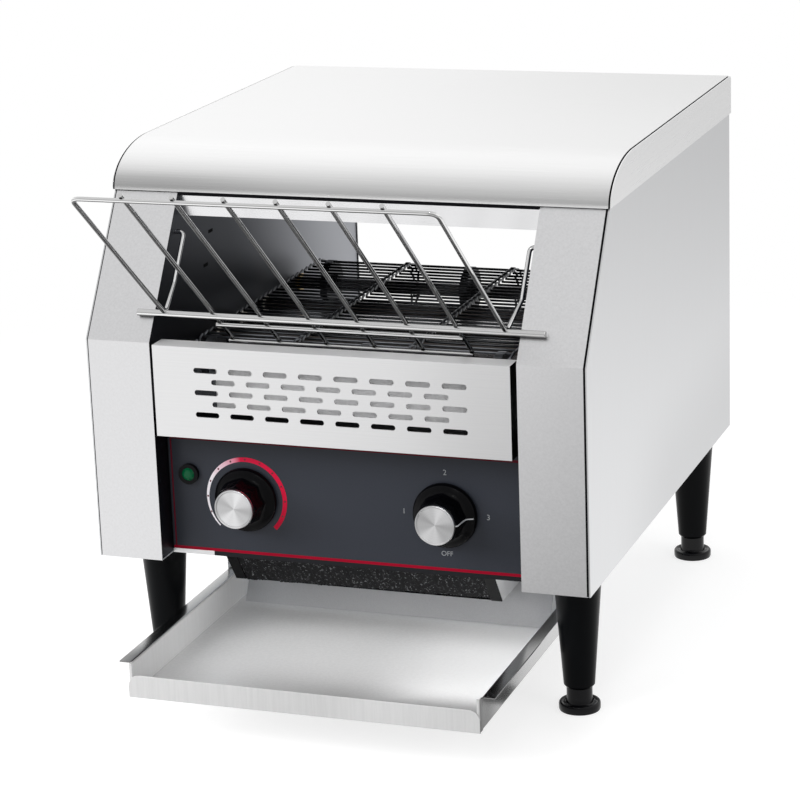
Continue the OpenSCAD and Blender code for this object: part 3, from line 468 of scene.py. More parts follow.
grey_ink = Shader("grey_ink", (0.26, 0.27, 0.28), 0.0, 0.45)
dial_ink = arc_material()
motor_paint = satin("motor_paint", (0.16, 0.18, 0.21), 0.4, 0.0)
control_blue = satin("control_blue", (0.10, 0.18, 0.36), 0.45, 0.0)
switch_dark = satin("switch_dark", (0.05, 0.05, 0.055), 0.5, 0.0)
ivory = satin("ivory_plastic", (0.80, 0.76, 0.64), 0.45, 0.0)
ceramic = satin("ceramic", (0.80, 0.77, 0.70), 0.7, 0.0)

CAD_LOOKS = {
    "base_plate": zinc, "side_frame_left": pillar_steel, "side_frame_right": pillar_steel,
    "side_panel_left": side_steel, "side_panel_right": side_steel, "hood": hood_steel,
    "rear_panel": rear_steel, "upper_reflector": bright, "lower_reflector": bright,
    "upper_heaters": heater_metal, "lower_heaters": heater_metal,
    "heater_insulators": ceramic, "toast_slide": slide_steel,
    "vent_panel": vent_steel, "vent_backplate": plate_steel, "control_panel": matt_black,
    "fascia_film": film_ink, "control_shield": matt_black, "exit_guard": guard_steel,
    "guard_strip": bristles, "tray_rail_left": inner_steel, "tray_rail_right": inner_steel,
    "shaft_bushes": bushing, "motor_bracket": zinc_steel, "gear_motor": motor_paint,
    "speed_control": control_blue, "selector_switch": switch_dark, "terminal_block": ivory,
    "thermostat": ceramic, "lamp_bezel": gloss_black, "lamp_lens": lens_green,
    "fan_housing": matt_black, "cable_gland": matt_black, "hood_screws": zinc_steel,
    "rear_screws": zinc_steel, "leg_bolts": zinc_steel, "conveyor_belt": belt_metal,
    "drive_chain": zinc_steel, "toast_tray": tray_metal, "loading_rack": chrome,
    "drive_shaft": zinc_steel, "drive_sprockets": belt_metal, "chain_sprocket": zinc_steel,
    "idler_shaft": zinc_steel, "idler_sprockets": belt_metal, "motor_sprocket": zinc_steel,
    "colour_knob": gloss_black, "colour_knob_cap": spun, "selector_knob": gloss_black,
    "selector_knob_cap": spun, "fan_impeller": matt_black}
for leg in LEGS:
    CAD_LOOKS["leg_" + leg] = leg_black
    CAD_LOOKS["foot_" + leg] = foot_black
for name, node in NODES.items():
    node.data.materials.clear()
    node.data.materials.append(CAD_LOOKS[name].mat)


# ---------- making pieces ----------

def finish_piece(obj, look, body, replaces=()):
    """Gives a piece its look and its body, and hides the solids it stands for."""
    bpy.context.scene.collection.objects.link(obj)
    obj.data.materials.append(look.mat)
    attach(obj, body)
    if replaces:
        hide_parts(*replaces)


def add_bevel(obj, width):
    mod = obj.modifiers.new("edge", "BEVEL")
    mod.width = width * MM
    mod.segments = 2
    mod.limit_method = "ANGLE"
    mod.angle_limit = math.radians(40)
    mod.harden_normals = True


class Build:
    """Collects solids in mm, with y from the front faces, for one mesh."""

    def __init__(self):
        self.verts, self.faces = [], []

    def ring_solid(self, rings):
        """Joins rings of equal length by quads and caps both ends."""
        start, n = len(self.verts), len(rings[0])
        last = start + (len(rings) - 1) * n
        for ring in rings:
            self.verts += [at(*p) for p in ring]
        for a in range(start, last, n):
            for j in range(n):
                k = (j + 1) % n
                self.faces.append((a + j, a + k, a + n + k, a + n + j))
        self.faces += [tuple(range(start, start + n)), tuple(range(last, last + n))]

    def prism_x(self, outline, x0, x1):
        self.ring_solid([[(x, y, z) for y, z in outline] for x in (x0, x1)])

    def prism_y(self, outline, y0, y1):
        self.ring_solid([[(x, y, z) for x, z in outline] for y in (y0, y1)])

    def prism_z(self, outline, z0, z1):
        self.ring_solid([[(x, y, z) for x, y in outline] for z in (z0, z1)])

    def box(self, x0, x1, y0, y1, z0, z1):
        self.prism_y([(x0, z0), (x1, z0), (x1, z1), (x0, z1)], y0, y1)

    def lathe(self, profile, place, axis, segments):
        """Turns (radius, distance along the axis) pairs about an axis through place."""
        rings = []
        for r, h in profile:
            r = max(r, 0.001)  # a ring never shrinks to a point
            ring = []
            for i in range(segments):
                a = 2 * math.pi * i / segments
                u, v = r * math.cos(a), r * math.sin(a)
                offset = {"Z": (u, v, h), "Y": (u, h, v), "X": (h, u, v)}[axis]
                ring.append(tuple(p + o for p, o in zip(place, offset)))
            rings.append(ring)
        self.ring_solid(rings)

    def piece(self, name, look, body=HOUSING, replaces=(), centre=(0, 0, 0), angle=35, bevel=0.0):
        """Makes the piece: its origin goes to centre, in metres; edges over angle degrees are sharp."""
        origin = Vector(centre)
        mesh = bpy.data.meshes.new(name)
        mesh.from_pydata([v - origin for v in self.verts], [], self.faces)
        work = bmesh.new()
        work.from_mesh(mesh)
        bmesh.ops.recalc_face_normals(work, faces=work.faces)
        work.to_mesh(mesh)
        work.free()
        mesh.shade_smooth()
        mesh.set_sharp_from_angle(angle=math.radians(angle))
        obj = bpy.data.objects.new(name, mesh)
        obj.location = origin
        finish_piece(obj, look, body, replaces)
        if bevel:
            add_bevel(obj, bevel)


def fillet(points, radius):
    """Rounds the inner corners of a line of points, in two or three dimensions."""
    steps = 6
    points = [Vector(p) for p in points]
    out = [points[0]]
    for before, corner, after in zip(points, points[1:], points[2:]):
        a, b = before - corner, after - corner
        bend = a.angle(b, math.pi)
        if bend > math.radians(179):
            out.append(corner)
            continue
        reach = min(radius / math.tan(bend / 2), 0.48 * a.length, 0.48 * b.length)
        start, end = corner + a.normalized() * reach, corner + b.normalized() * reach
        for i in range(steps + 1):
            t = i / steps
            out.append((1 - t) ** 2 * start + 2 * t * (1 - t) * corner + t ** 2 * end)
    out.append(points[-1])
    return out


def strip(line, thick):
    """The closed outline of a sheet that follows a two-dimensional line down its middle."""
    points = [Vector(p) for p in line]
    left, right = [], []
    for i, p in enumerate(points):
        before = (p - points[i - 1]).normalized() if i else (points[1] - p).normalized()
        after = (points[i + 1] - p).normalized() if i + 1 < len(points) else before
        mid = (before + after).normalized()
        normal = Vector((-mid.y, mid.x))
        grow = 1 / max(0.3, normal.dot(Vector((-before.y, before.x))))
        left.append(p + normal * thick / 2 * grow)
        right.append(p - normal * thick / 2 * grow)
    return [tuple(p) for p in left + right[::-1]]


def wire_piece(name, lines, diameter, look, body, replaces, resolution):
    """Round wires through lists of points in mm."""
    curve = bpy.data.curves.new(name, "CURVE")
    curve.dimensions = "3D"
    curve.bevel_depth = diameter / 2 * MM
    curve.bevel_resolution = resolution
    curve.use_fill_caps = True
    for line in lines:
        spline = curve.splines.new("POLY")
        spline.points.add(len(line) - 1)
        for target, p in zip(spline.points, line):
            target.co = (*at(*p), 1)
        spline.use_smooth = True
    finish_piece(bpy.data.objects.new(name, curve), look, body, replaces)


# ---------- camera, as fitted to the photo ----------

CAMERA_PLACE = Vector((0.68089, -1.87579, 0.76912))
AZIMUTH, ELEVATION, ROLL = math.radians(20.09), math.radians(16.17), math.radians(-2.10)
LENS, SENSOR = 125.62, 36.0


def add_camera():
    back = Vector((math.sin(AZIMUTH) * math.cos(ELEVATION), -math.cos(AZIMUTH) * math.cos(ELEVATION),
                   math.sin(ELEVATION)))
    level = (-back).cross(Vector((0, 0, 1))).normalized()
    upright = level.cross(-back)
    right = level * math.cos(ROLL) + upright * math.sin(ROLL)
    up = -level * math.sin(ROLL) + upright * math.cos(ROLL)
    turned = Matrix((right, up, back)).transposed().to_4x4()
    camera = bpy.data.objects.new("camera", bpy.data.cameras.new("camera"))
    camera.data.lens, camera.data.sensor_width = LENS, SENSOR
    camera.data.clip_start, camera.data.clip_end = 0.05, 60
    camera.matrix_world = Matrix.Translation(CAMERA_PLACE) @ turned
    bpy.context.scene.collection.objects.link(camera)
    bpy.context.scene.camera = camera


add_camera()


# ---------- hood ----------

NOSE_STEPS = 28
HOOD_BACK, HOOD_CHAMFER = BODY_D + 1.2, 2.0
SEAM_X, SKIRT_X, OUT_X = SIDE_X + 0.5, SIDE_X + 1.7, SIDE_X + 2.3
HEM_Y, HEM_D, HEM_H = HOOD_FRONT + 0.3, 4.1, 2.5


def hood_side(inset):
    """The hood from the side, from its lower front edge over the nose and the top to its lower back."""
    points = []
    for i in range(NOSE_STEPS + 1):
        a = math.radians(90 * i / NOSE_STEPS)
        points.append((HOOD_FRONT + NOSE_D - (NOSE_D - inset) * math.cos(a),
                       HOOD_Z + (TOP_Z - HOOD_Z - inset) * math.sin(a)))
    y, z = HOOD_BACK - inset, TOP_Z - inset
    return points + [(y - HOOD_CHAMFER, z), (y, z - HOOD_CHAMFER), (y, HOOD_Z)]


shell = Build()
shell.prism_x(hood_side(0) + hood_side(1)[::-1], -SEAM_X, SEAM_X)
shell.piece("hood_shell", hood_steel, replaces=("hood",), bevel=0.15)
# the seams between the hood's top and its skirts are black strips of painted shade
seams = Build()
skirts = Build()
for side in (-1, 1):
    seams.prism_x(hood_side(0.7) + hood_side(1.6)[::-1], side * SEAM_X, side * SKIRT_X)
    skirts.prism_x(hood_side(0.25), side * SKIRT_X, side * OUT_X)
seams.piece("hood_seams", painted_shade_black)
skirts.piece("hood_skirts", skirt_steel, bevel=0.2)
# the hem under the hood's front edge is a black strip of painted shade
hem = Build()
hem.box(-IN_X + 0.5, IN_X - 0.5, HEM_Y, HEM_Y + HEM_D, HOOD_Z - HEM_H, HOOD_Z)
hem.piece("hood_hem", painted_shade_black)


# ---------- seams between the pillars and the side panels ----------

SEAM_Y, SEAM_THICK, SEAM_LEFT_W, SEAM_RIGHT_W = -0.02, 0.14, 0.25, 1.5
seam_line = [(SEAM_Y, UNDER_Z + 0.5), (SEAM_Y, KINK_Z), (SLOPE_D - 0.2, HOOD_Z - 0.2)]
# the seams are black strips of painted shade
pillar_seams = Build()
pillar_seams.prism_x(strip(seam_line, SEAM_THICK), -SIDE_X, -SIDE_X + SEAM_LEFT_W)
pillar_seams.prism_x(strip(seam_line, SEAM_THICK), SIDE_X - SEAM_RIGHT_W, SIDE_X)
pillar_seams.piece("pillar_seams", painted_shade_black)


# ---------- belt ----------

BELT_WIRE, BELT_HALF, BELT_COLUMNS = 1.9, 120, (-119, -43.2, 43.2, 119)
# a hook over the next wire: x from its column, pitches along the loop, lift off the loop
BELT_HOOK = ((-3.4, 0, 0), (-1.9, 0.55, 0.4), (-1.5, 1.1, 1.3),
             (1.5, 1.1, 1.3), (1.9, 0.55, 0.4), (3.4, 0, 0))


def belt_place(u, lift=0.0):
    """(y, z) at the position u, in pitches, along the belt's loop."""
    half = BELT_TEETH / 2
    u %= 2 * (BELT_RUN + half)
    r = BELT_R + lift
    if u <= BELT_RUN:
        return BELT_Y + u * BELT_PITCH, BELT_Z + r
    u -= BELT_RUN
    if u <= half:
        a = math.pi * u / half
        return BELT_Y + BELT_RUN * BELT_PITCH + r * math.sin(a), BELT_Z + r * math.cos(a)
    u -= half
    if u <= BELT_RUN:
        return BELT_Y + (BELT_RUN - u) * BELT_PITCH, BELT_Z - r
    a = math.pi * (u - BELT_RUN) / half
    return BELT_Y - r * math.sin(a), BELT_Z - r * math.cos(a)


def belt_strand(i):
    """One flat-flex wire: straight runs, with a hook over the next wire at each column."""
    line = []
    for column in BELT_COLUMNS:
        for dx, du, lift in BELT_HOOK:
            if abs(column + dx) <= BELT_HALF:
                line.append((column + dx, *belt_place(i + du, lift)))
    return line


wire_piece("belt_strands", [belt_strand(i) for i in range(2 * BELT_RUN + BELT_TEETH)], BELT_WIRE,
           belt_metal, HOUSING, ("conveyor_belt",), 2)


# ---------- loading rack ----------

RACK_HALF, RACK_LEN, RACK_LOW, RACK_GAPS, RACK_WIRE = 125.5, 174.0, 41.0, 7, 3.2
BAR_HALF, BAR_DROPS = 91.2, (14, RACK_LOW)
ARM_X, ARM_BEND_Y, ARM_BEND_Z = 129.1, 35, ROD_Z + 15.8
HOOK_X, HOOK_Y, HOOK_Z = 140.0, 57, 335
HOOK_BEND, RACK_BEND = 4, 7
ROD_SHIFT, ROD_HALF, ROD_R, ROD_CHAMFER = 3.3, 150, 2.5, 0.3


def rack_place(x, s, n=0.0):
    """A point s up the rack from its rest rod, lifted by n towards the bread."""
    return (x, ROD_Y - s * math.cos(RACK_A) + n * math.sin(RACK_A),
            ROD_Z + s * math.sin(RACK_A) + n * math.cos(RACK_A))


# the outer wire runs from hook to hook: up one arm, round the rack and down the other arm
edge = []
for side in (-1, 1):
    half = [(side * HOOK_X, HOOK_Y, HOOK_Z), (side * ARM_X, HOOK_Y, HOOK_Z),
            (side * ARM_X, ARM_BEND_Y, ARM_BEND_Z),
            rack_place(side * RACK_HALF, 0), rack_place(side * RACK_HALF, RACK_LEN)]
    edge += half if side < 0 else half[::-1]
wires = [fillet(edge[:3], HOOK_BEND)[:-1] + fillet(edge[2:8], RACK_BEND) + fillet(edge[7:], HOOK_BEND)[1:]]
for i in range(1, RACK_GAPS):
    x = -RACK_HALF + i * 2 * RACK_HALF / RACK_GAPS
    wires.append([rack_place(x, -RACK_LOW - 1, 2.8), rack_place(x, RACK_LEN + 3, 2.4)])
for drop in BAR_DROPS:
    wires.append([rack_place(-BAR_HALF, -drop), rack_place(BAR_HALF, -drop)])
wire_piece("rack_wires", wires, RACK_WIRE, chrome, "loading_rack", ("loading_rack",), 6)
rod = Build()
rod.lathe([(0, -ROD_HALF), (ROD_R - ROD_CHAMFER, -ROD_HALF), (ROD_R, ROD_CHAMFER - ROD_HALF),
           (ROD_R, ROD_HALF - ROD_CHAMFER), (ROD_R - ROD_CHAMFER, ROD_HALF), (0, ROD_HALF)],
          (ROD_SHIFT, ROD_Y, ROD_Z), "X", 40)
rod.piece("rack_rod", chrome, "loading_rack")


# ---------- knobs ----------

KNOB_TURNS, KNOB_FLUTES, POINTER_HALF, POINTER_DEPTH = 160, 8, 0.42, 0.5
# height over the knob's back, radius, depth of the flutes
KNOB_GRIP = [(0, 23.2, 0), (0.3, 23.5, 0), (2.2, 23.5, 0), (3.2, 23.1, 0), (4.0, 22.0, 0), (5.0, 19.3, 0),
             (5.8, 17.7, 0), (7.0, 16.9, 0.5), (9.0, 16.5, 1.2), (14, 16.1, 1.4), (20.4, 15.8, 1.3),
             (21.4, 15.4, 1.0), (21.9, 14.7, 0.6), (22.0, 13.4, 0), (22.0, 0.001, 0)]
# radius, distance behind the knob's back
KNOB_STUB = [(0, 0), (3, 0), (3, -0.4), (3, 25), (0, 25)]
# radius, distance behind the knob's front
KNOB_CAP = [(0, 0.4), (14.1, 0.4), (14.5, 0), (14.5, -1.6), (14.3, -2.0), (13.9, -2.25), (13.4, -2.2),
            (13.0, -1.75), (12.7, -1.55), (0.35, -1.4), (0, -1.4)]
# radius, height over the knob's back
KNOB_POINTER = [(14.6, 22.15), (15.2, 22.0), (15.7, 21.5), (16.1, 20.5), (16.4, 14), (16.75, 9), (17.2, 7.0),
                (18.1, 5.9), (19.6, 5.1), (22.0, 4.2)]


def knob(name, x, pointer):
    """A skirted knob with flutes, its spun cap and its pointer line, on the body of the same name."""
    grip = Build()
    rings = []
    for h, r, depth in KNOB_GRIP:
        ring = []
        for i in range(KNOB_TURNS):
            a = 2 * math.pi * i / KNOB_TURNS
            rr = r - depth * abs(math.sin(KNOB_FLUTES / 2 * a)) ** 0.8
            ring.append((x + rr * math.cos(a), KNOB_BACK - h, KNOB_Z + rr * math.sin(a)))
        rings.append(ring)
    grip.ring_solid(rings)
    grip.lathe(KNOB_STUB, (x, KNOB_BACK, KNOB_Z), "Y", 48)
    grip.piece(name + "_grip", gloss_black, name, replaces=(name,),
               centre=at(x, KNOB_BACK, KNOB_Z), angle=50)
    cap = Build()
    cap.lathe(KNOB_CAP, (x, KNOB_FRONT, KNOB_Z), "Y", 128)
    cap.piece(name + "_disc", spun, name, replaces=(name + "_cap",),
              centre=at(x, KNOB_FRONT, KNOB_Z), angle=25)
    line = Build()
    along = Vector((math.cos(pointer), 0, math.sin(pointer)))
    across = Vector((-along.z, 0, along.x)) * POINTER_HALF
    rings = []
    for r, h in KNOB_POINTER:
        top = Vector((x, KNOB_BACK - h, KNOB_Z)) + along * r
        under = top + Vector((0, POINTER_DEPTH, 0)) - along * POINTER_DEPTH
        rings.append([tuple(p) for p in (top + across, top - across, under - across, under + across)])
    line.ring_solid(rings)
    line.piece(name + "_pointer", white_ink, name)


knob("colour_knob", -KNOB_X, math.radians(-135))
knob("selector_knob", KNOB_X, 0.0)


# ---------- print on the control panel ----------

INK_Y, INK_BACK = FILM_Y - 0.08, FILM_Y + 0.02
BORDER_X, BORDER_TOP, BORDER_W, BORDER_H = 132.6, 193.7, 1.0, 1.8
BAND_X, BAND_LOW, BAND_HIGH = 134.0, 108.8, 111.0
TRIM_LOW, PANEL_X = 108.3, 134.8
DIAL_R, DIAL_STEPS, DIAL_TICKS, DIAL_START, DIAL_SWEEP = 30.9, 108, 12, 225, 270
DIAL_THIN, DIAL_SWELL, DIAL_FULL_AT = 0.9, 2.4, 0.42
TICK_HALF, TICK_SHARE = 0.65, 0.36
# name, text, place from the selector's centre, letter height
MARKS = (("mark_one", "1", -31, 0, 5.6), ("mark_two", "2", 0, 30.5, 5.6),
         ("mark_three", "3", 31, 0, 5.6), ("mark_off", "OFF", 0, -29, 5))


def ink_box(build, x0, x1, z0, z1, lift=0.0):
    build.box(x0, x1, INK_Y - lift, INK_BACK, z0, z1)


def dial_width(t):
    """The width of the dial's arc at t, from 0 to 1 along it: it swells over its first part."""
    return DIAL_THIN + DIAL_SWELL * min(1.0, t / DIAL_FULL_AT)


def label(name, text, x, z, size):
    font = bpy.data.curves.new(name, "FONT")
    font.body = text
    font.size = size * MM
    font.extrude = 0.04 * MM
    font.align_x, font.align_y = "CENTER", "CENTER"
    obj = bpy.data.objects.new(name, font)
    obj.matrix_world = Matrix.Translation(at(x, FILM_Y - 0.03, z)) @ Matrix.Rotation(math.pi / 2, 4, "X")
    finish_piece(obj, grey_ink, HOUSING)


border = Build()
ink_box(border, -BORDER_X, BORDER_X, BORDER_TOP - BORDER_H, BORDER_TOP)
for side in (-1, 1):
    ink_box(border, *sorted((side * BORDER_X, side * (BORDER_X - BORDER_W))), BAND_HIGH, BORDER_TOP - 1.2)
border.piece("film_border", maroon)
band = Build()
ink_box(band, -BAND_X, BAND_X, BAND_LOW, BAND_HIGH)
band.piece("film_band", crimson)
trim = Build()
ink_box(trim, -BAND_X, -GUARD_HALF, TRIM_LOW, BAND_LOW, 0.1)
trim.piece("film_trim", pale_edge)
sill = Build()
sill.box(-GUARD_HALF, PANEL_X, FILM_Y - 0.07, FILM_Y + 0.4, UNDER_Z, BAND_LOW)
sill.piece("panel_sill", matt_black)
low_edge = Build()
low_edge.box(-PANEL_X, -GUARD_HALF - 0.1, FILM_Y - 0.05, FILM_Y + 0.4, UNDER_Z, TRIM_LOW)
low_edge.piece("panel_edge", guard_steel)

arc = Build()
rings = []
for i in range(DIAL_STEPS + 1):
    a = math.radians(DIAL_START - DIAL_SWEEP * i / DIAL_STEPS)
    inner = DIAL_R - dial_width(i / DIAL_STEPS)
    rings.append([(-KNOB_X + r * math.cos(a), y, KNOB_Z + r * math.sin(a)) for r, y in
                  ((inner, INK_Y), (DIAL_R, INK_Y), (DIAL_R, INK_BACK), (inner, INK_BACK))])
arc.ring_solid(rings)
arc.piece("dial_arc", dial_ink, centre=at(-KNOB_X, FILM_Y, KNOB_Z))
ticks = Build()
for i in range(1, DIAL_TICKS):
    a = math.radians(DIAL_START - DIAL_SWEEP * i / DIAL_TICKS)
    width = dial_width(i / DIAL_TICKS)
    out = Vector((math.cos(a), 0, math.sin(a)))
    centre = Vector((-KNOB_X, 0, KNOB_Z)) + out * (DIAL_R - width / 2)
    u, v = out * min(TICK_HALF, width * TICK_SHARE), Vector((-out.z, 0, out.x)) * TICK_HALF
    corners = [centre + u + v, centre + u - v, centre - u - v, centre - u + v]
    ticks.prism_y([(p.x, p.z) for p in corners], INK_Y - 0.03, FILM_Y)
ticks.piece("dial_ticks", tick_ink)

for name, text, dx, dz, size in MARKS:
    label(name, text, KNOB_X + dx, KNOB_Z + dz, size)


# ---------- exit guard ----------

GUARD_LEAN = 0.7
BRUSH_HALF, BRUSH_LOW, BRUSH_TOP, BRUSH_DEEP = 94.2, 75.2, 105.3, 3.6
BRUSH_COLUMNS, BRUSH_ROWS = 170, 7
THREAD_FROM, THREAD_TO, THREAD_Z, THREAD_W = -92.0, 84, 101.4, 0.45
FLANGE_W, RIVETS = 8.1, ((95.2, 102.6), (98.6, 101.8))


def guard_place(x, z, out):
    """A point out mm in front of the guard's leaning front."""
    return (x, GUARD_Y - GUARD_LEAN * (z - GUARD_Z) - out, z)


lumps = random.Random(5)
brush = Build()
rings = []
for i in range(BRUSH_COLUMNS + 1):
    x = BRUSH_HALF * (2 * i / BRUSH_COLUMNS - 1)
    low = BRUSH_LOW + 2.4 * i / BRUSH_COLUMNS + 0.5 * math.sin(x * 0.23) + lumps.uniform(-0.5, 0.5)
    front = [guard_place(x + lumps.uniform(-0.3, 0.3), low + (BRUSH_TOP - low) * k / BRUSH_ROWS,
                         lumps.uniform(-0.9, 0.2)) for k in range(BRUSH_ROWS + 1)]
    rings.append(front + [guard_place(x, BRUSH_TOP, -BRUSH_DEEP), guard_place(x, low + 0.5, -BRUSH_DEEP)])
brush.ring_solid(rings)
brush.piece("guard_brush", bristles, replaces=("guard_strip",), angle=50)
threads = []
x = THREAD_FROM
while x < THREAD_TO:
    run = lumps.uniform(5, 16)
    threads.append([guard_place(x + run * k / 5, THREAD_Z - 0.012 * x + lumps.uniform(-0.6, 0.6), 0.3)
                    for k in range(6)])
    x += run + lumps.uniform(0.5, 4)
wire_piece("guard_threads", threads, THREAD_W, pale_thread, HOUSING, (), 2)
flanges = Build()
for side in (-1, 1):
    x0, x1 = sorted((side * (GUARD_HALF + 0.12), side * (GUARD_HALF - FLANGE_W)))
    outline = ((x0, 0.35), (x1, 0.35), (x1, -1.4), (x0, -1.4))
    flanges.ring_solid([[guard_place(x, z, out) for x, out in outline]
                        for z in (GUARD_Z - 0.2, UNDER_Z - 0.05)])
flanges.box(-GUARD_HALF, GUARD_HALF, GUARD_Y + 0.5, GUARD_Y + 1.3, GUARD_Z - 0.1, GUARD_Z + 1.2)
flanges.piece("guard_flanges", gloss_black, bevel=0.3)
rivets = Build()
for x, z in RIVETS:
    rivets.lathe([(0, 0), (0.8, 0), (0.75, -0.3), (0.45, -0.55), (0, -0.6)], guard_place(x, z, 0.3), "Y", 24)
rivets.piece("guard_rivets", zinc_steel)


# ---------- toast tray ----------

SHEET, BEND_R, BEAD_R = 1.0, 1.6, 1.2
FLANGE_X, TAB_D, BEAD = 138.0, 6.2, 2.6
LIP_STRAIGHT, LIP_R, LIP_D = 8.5, 8.0, 6.0
# the wall, the floor and the flange of the tray, in the middle of the sheet
wall_x, floor_z, rim_z = TRAY_W - SHEET / 2, TRAY_Z + SHEET / 2, TRAY_TOP - SHEET / 2
section = fillet([(-FLANGE_X, rim_z), (-wall_x, rim_z), (-wall_x, floor_z),
                  (wall_x, floor_z), (wall_x, rim_z), (FLANGE_X, rim_z)], BEND_R)
tray = Build()
tray.prism_y(strip(section, SHEET), TRAY_FRONT + LIP_D, TRAY_BACK)
tray.box(-wall_x, wall_x, TRAY_FRONT + SHEET - 0.1, TRAY_FRONT + LIP_D + 0.1, TRAY_Z, TRAY_Z + SHEET)
lip = [(-TRAY_W, TRAY_Z), (-TRAY_W, TRAY_Z + LIP_STRAIGHT)]
for degrees in range(15, 91, 15):
    a = math.radians(degrees)
    lip.append((-TRAY_W + LIP_R * (1 - math.cos(a)), TRAY_Z + LIP_STRAIGHT + LIP_R * math.sin(a)))
lip += [(-x, z) for x, z in lip[::-1]]
tray.prism_y(lip, TRAY_FRONT, TRAY_FRONT + SHEET)
tray.piece("tray_pan", tray_metal, "toast_tray", replaces=("toast_tray",), bevel=0.25)
tabs = Build()
for side in (-1, 1):
    corner = fillet([(side * wall_x, TRAY_FRONT + TAB_D), (side * wall_x, TRAY_FRONT + BEND_R),
                     (side * (TRAY_W - BEAD), TRAY_FRONT + BEND_R)], BEND_R)
    tabs.prism_z(strip(corner, SHEET), TRAY_Z + 0.4, TRAY_TOP)
for side in (-1, 1):
    bead = fillet([(side * (TRAY_W - SHEET), TRAY_Z + BEAD), (side * (TRAY_W - SHEET), TRAY_Z + SHEET),
                   (side * (TRAY_W - BEAD), TRAY_Z + SHEET)], BEAD_R)
    tabs.prism_y(strip(bead, 0.3), TRAY_FRONT + 8, TRAY_BACK - 2)
tabs.piece("tray_tabs", tray_metal, "toast_tray", bevel=0.2)


# ---------- legs and feet ----------

# radius, height over the floor
CONE = [(5.2, 18.0), (9.8, 18.0), (11.2, 19.6), (17.2, 101.5), (17.6, 102.5), (17.6, UNDER_Z), (5.2, UNDER_Z)]
FOOT = [(0, 0), (13.6, 0), (14.6, 0.4), (15, 1.4), (15, 4.6), (14.8, 5.6), (14.2, 6.3), (13.4, 6.5),
        (12.5, 6.2), (11.8, 5.6), (10.8, 5.6), (9.9, 6.2), (9.5, 7.6), (9.3, 10.0), (9.3, 17.6), (5, 17.6)]
BOLT_Z, BOLT_TOP, BOLT_R, BOLT_DEPTH = 17.8, 41.0, 5.0, 0.45
BOLT_TURNS, BOLT_PITCH, BOLT_RISE = 16, 1.45, 0.72


def foot_profile():
    """The round foot with its neck, and the thread over it."""
    profile = list(FOOT)
    for i in range(BOLT_TURNS):
        z = BOLT_Z + i * BOLT_PITCH
        profile += [(BOLT_R, z), (BOLT_R - BOLT_DEPTH, z + BOLT_RISE)]
    return profile + [(4.6, BOLT_TOP), (0, BOLT_TOP)]


for leg, (x, y) in LEGS.items():
    cone = Build()
    cone.lathe(CONE, (x, y, 0), "Z", 80)
    cone.piece("leg_cone_" + leg, leg_black, replaces=("leg_" + leg,), angle=30)
    foot = Build()
    foot.lathe(foot_profile(), (x, y, 0), "Z", 80)
    foot.piece("foot_disc_" + leg, foot_black, "foot_" + leg,
               replaces=("foot_" + leg,), angle=40)


# ---------- slots in the inner walls, and the right end of the plate behind the vent ----------

SLOT_PLACES, SLOT_HALF_D, SLOT_HALF_H = ((117, 322), (105, 299)), 4, 1.2
PLATE_X, PLATE_Y, PLATE_Z = (89.9, 99.0), (10.5, 11.5), (218.2, 266)
# the slots are black boxes of painted shade
wall_slots = Build()
for y, z in SLOT_PLACES:
    for side in (-1, 1):
        wall_slots.box(*sorted((side * (IN_X - 0.06), side * (IN_X + 0.2))),
                       y - SLOT_HALF_D, y + SLOT_HALF_D, z - SLOT_HALF_H, z + SLOT_HALF_H)
wall_slots.piece("wall_slots", painted_shade_black)
plate_end = Build()
plate_end.box(*PLATE_X, *PLATE_Y, *PLATE_Z)
plate_end.piece("plate_end", plate_steel, bevel=0.2)


# ---------- screws ----------

SCREW_X, SCREW_IN = (-150, -50, 50, 150), 8
SCREW_HEAD = [(0, -8), (2, -8), (2, 0), (3.5, 0), (3.5, 0.7), (3.1, 1.4), (2.2, 1.85), (0, 2.0)]
CROSS_HALF, CROSS_THIN, CROSS_Y = 1.8, 0.35, 1.5
# half width, half height and end of each bar of the cross; the ends differ so that no faces coincide
CROSS = ((CROSS_HALF, CROSS_THIN, 2.06), (CROSS_THIN, CROSS_HALF, 2.05))
heads = Build()
# the crosses in the heads are black boxes of painted shade
slots = Build()
for x in SCREW_X:
    for y, z in ((HOOD_BACK, HOOD_Z + SCREW_IN), (BODY_D, UNDER_Z + SCREW_IN)):
        heads.lathe(SCREW_HEAD, (x, y, z), "Y", 32)
        for half_x, half_z, proud in CROSS:
            slots.box(x - half_x, x + half_x, y + CROSS_Y, y + proud, z - half_z, z + half_z)
heads.piece("screw_heads", zinc_steel, replaces=("hood_screws", "rear_screws"))
slots.piece("screw_slots", painted_shade_black)


# ---------- edges of the solids that are shown as they are ----------

for name in ("side_frame_left", "side_frame_right", "side_panel_left", "side_panel_right", "vent_panel",
             "rear_panel", "upper_reflector", "exit_guard", "toast_slide"):
    add_bevel(NODES[name], 0.2)
for node in NODES.values():
    node.data.shade_smooth()
    node.data.set_sharp_from_angle(angle=math.radians(32))


# ---------- floor, world and lamps ----------

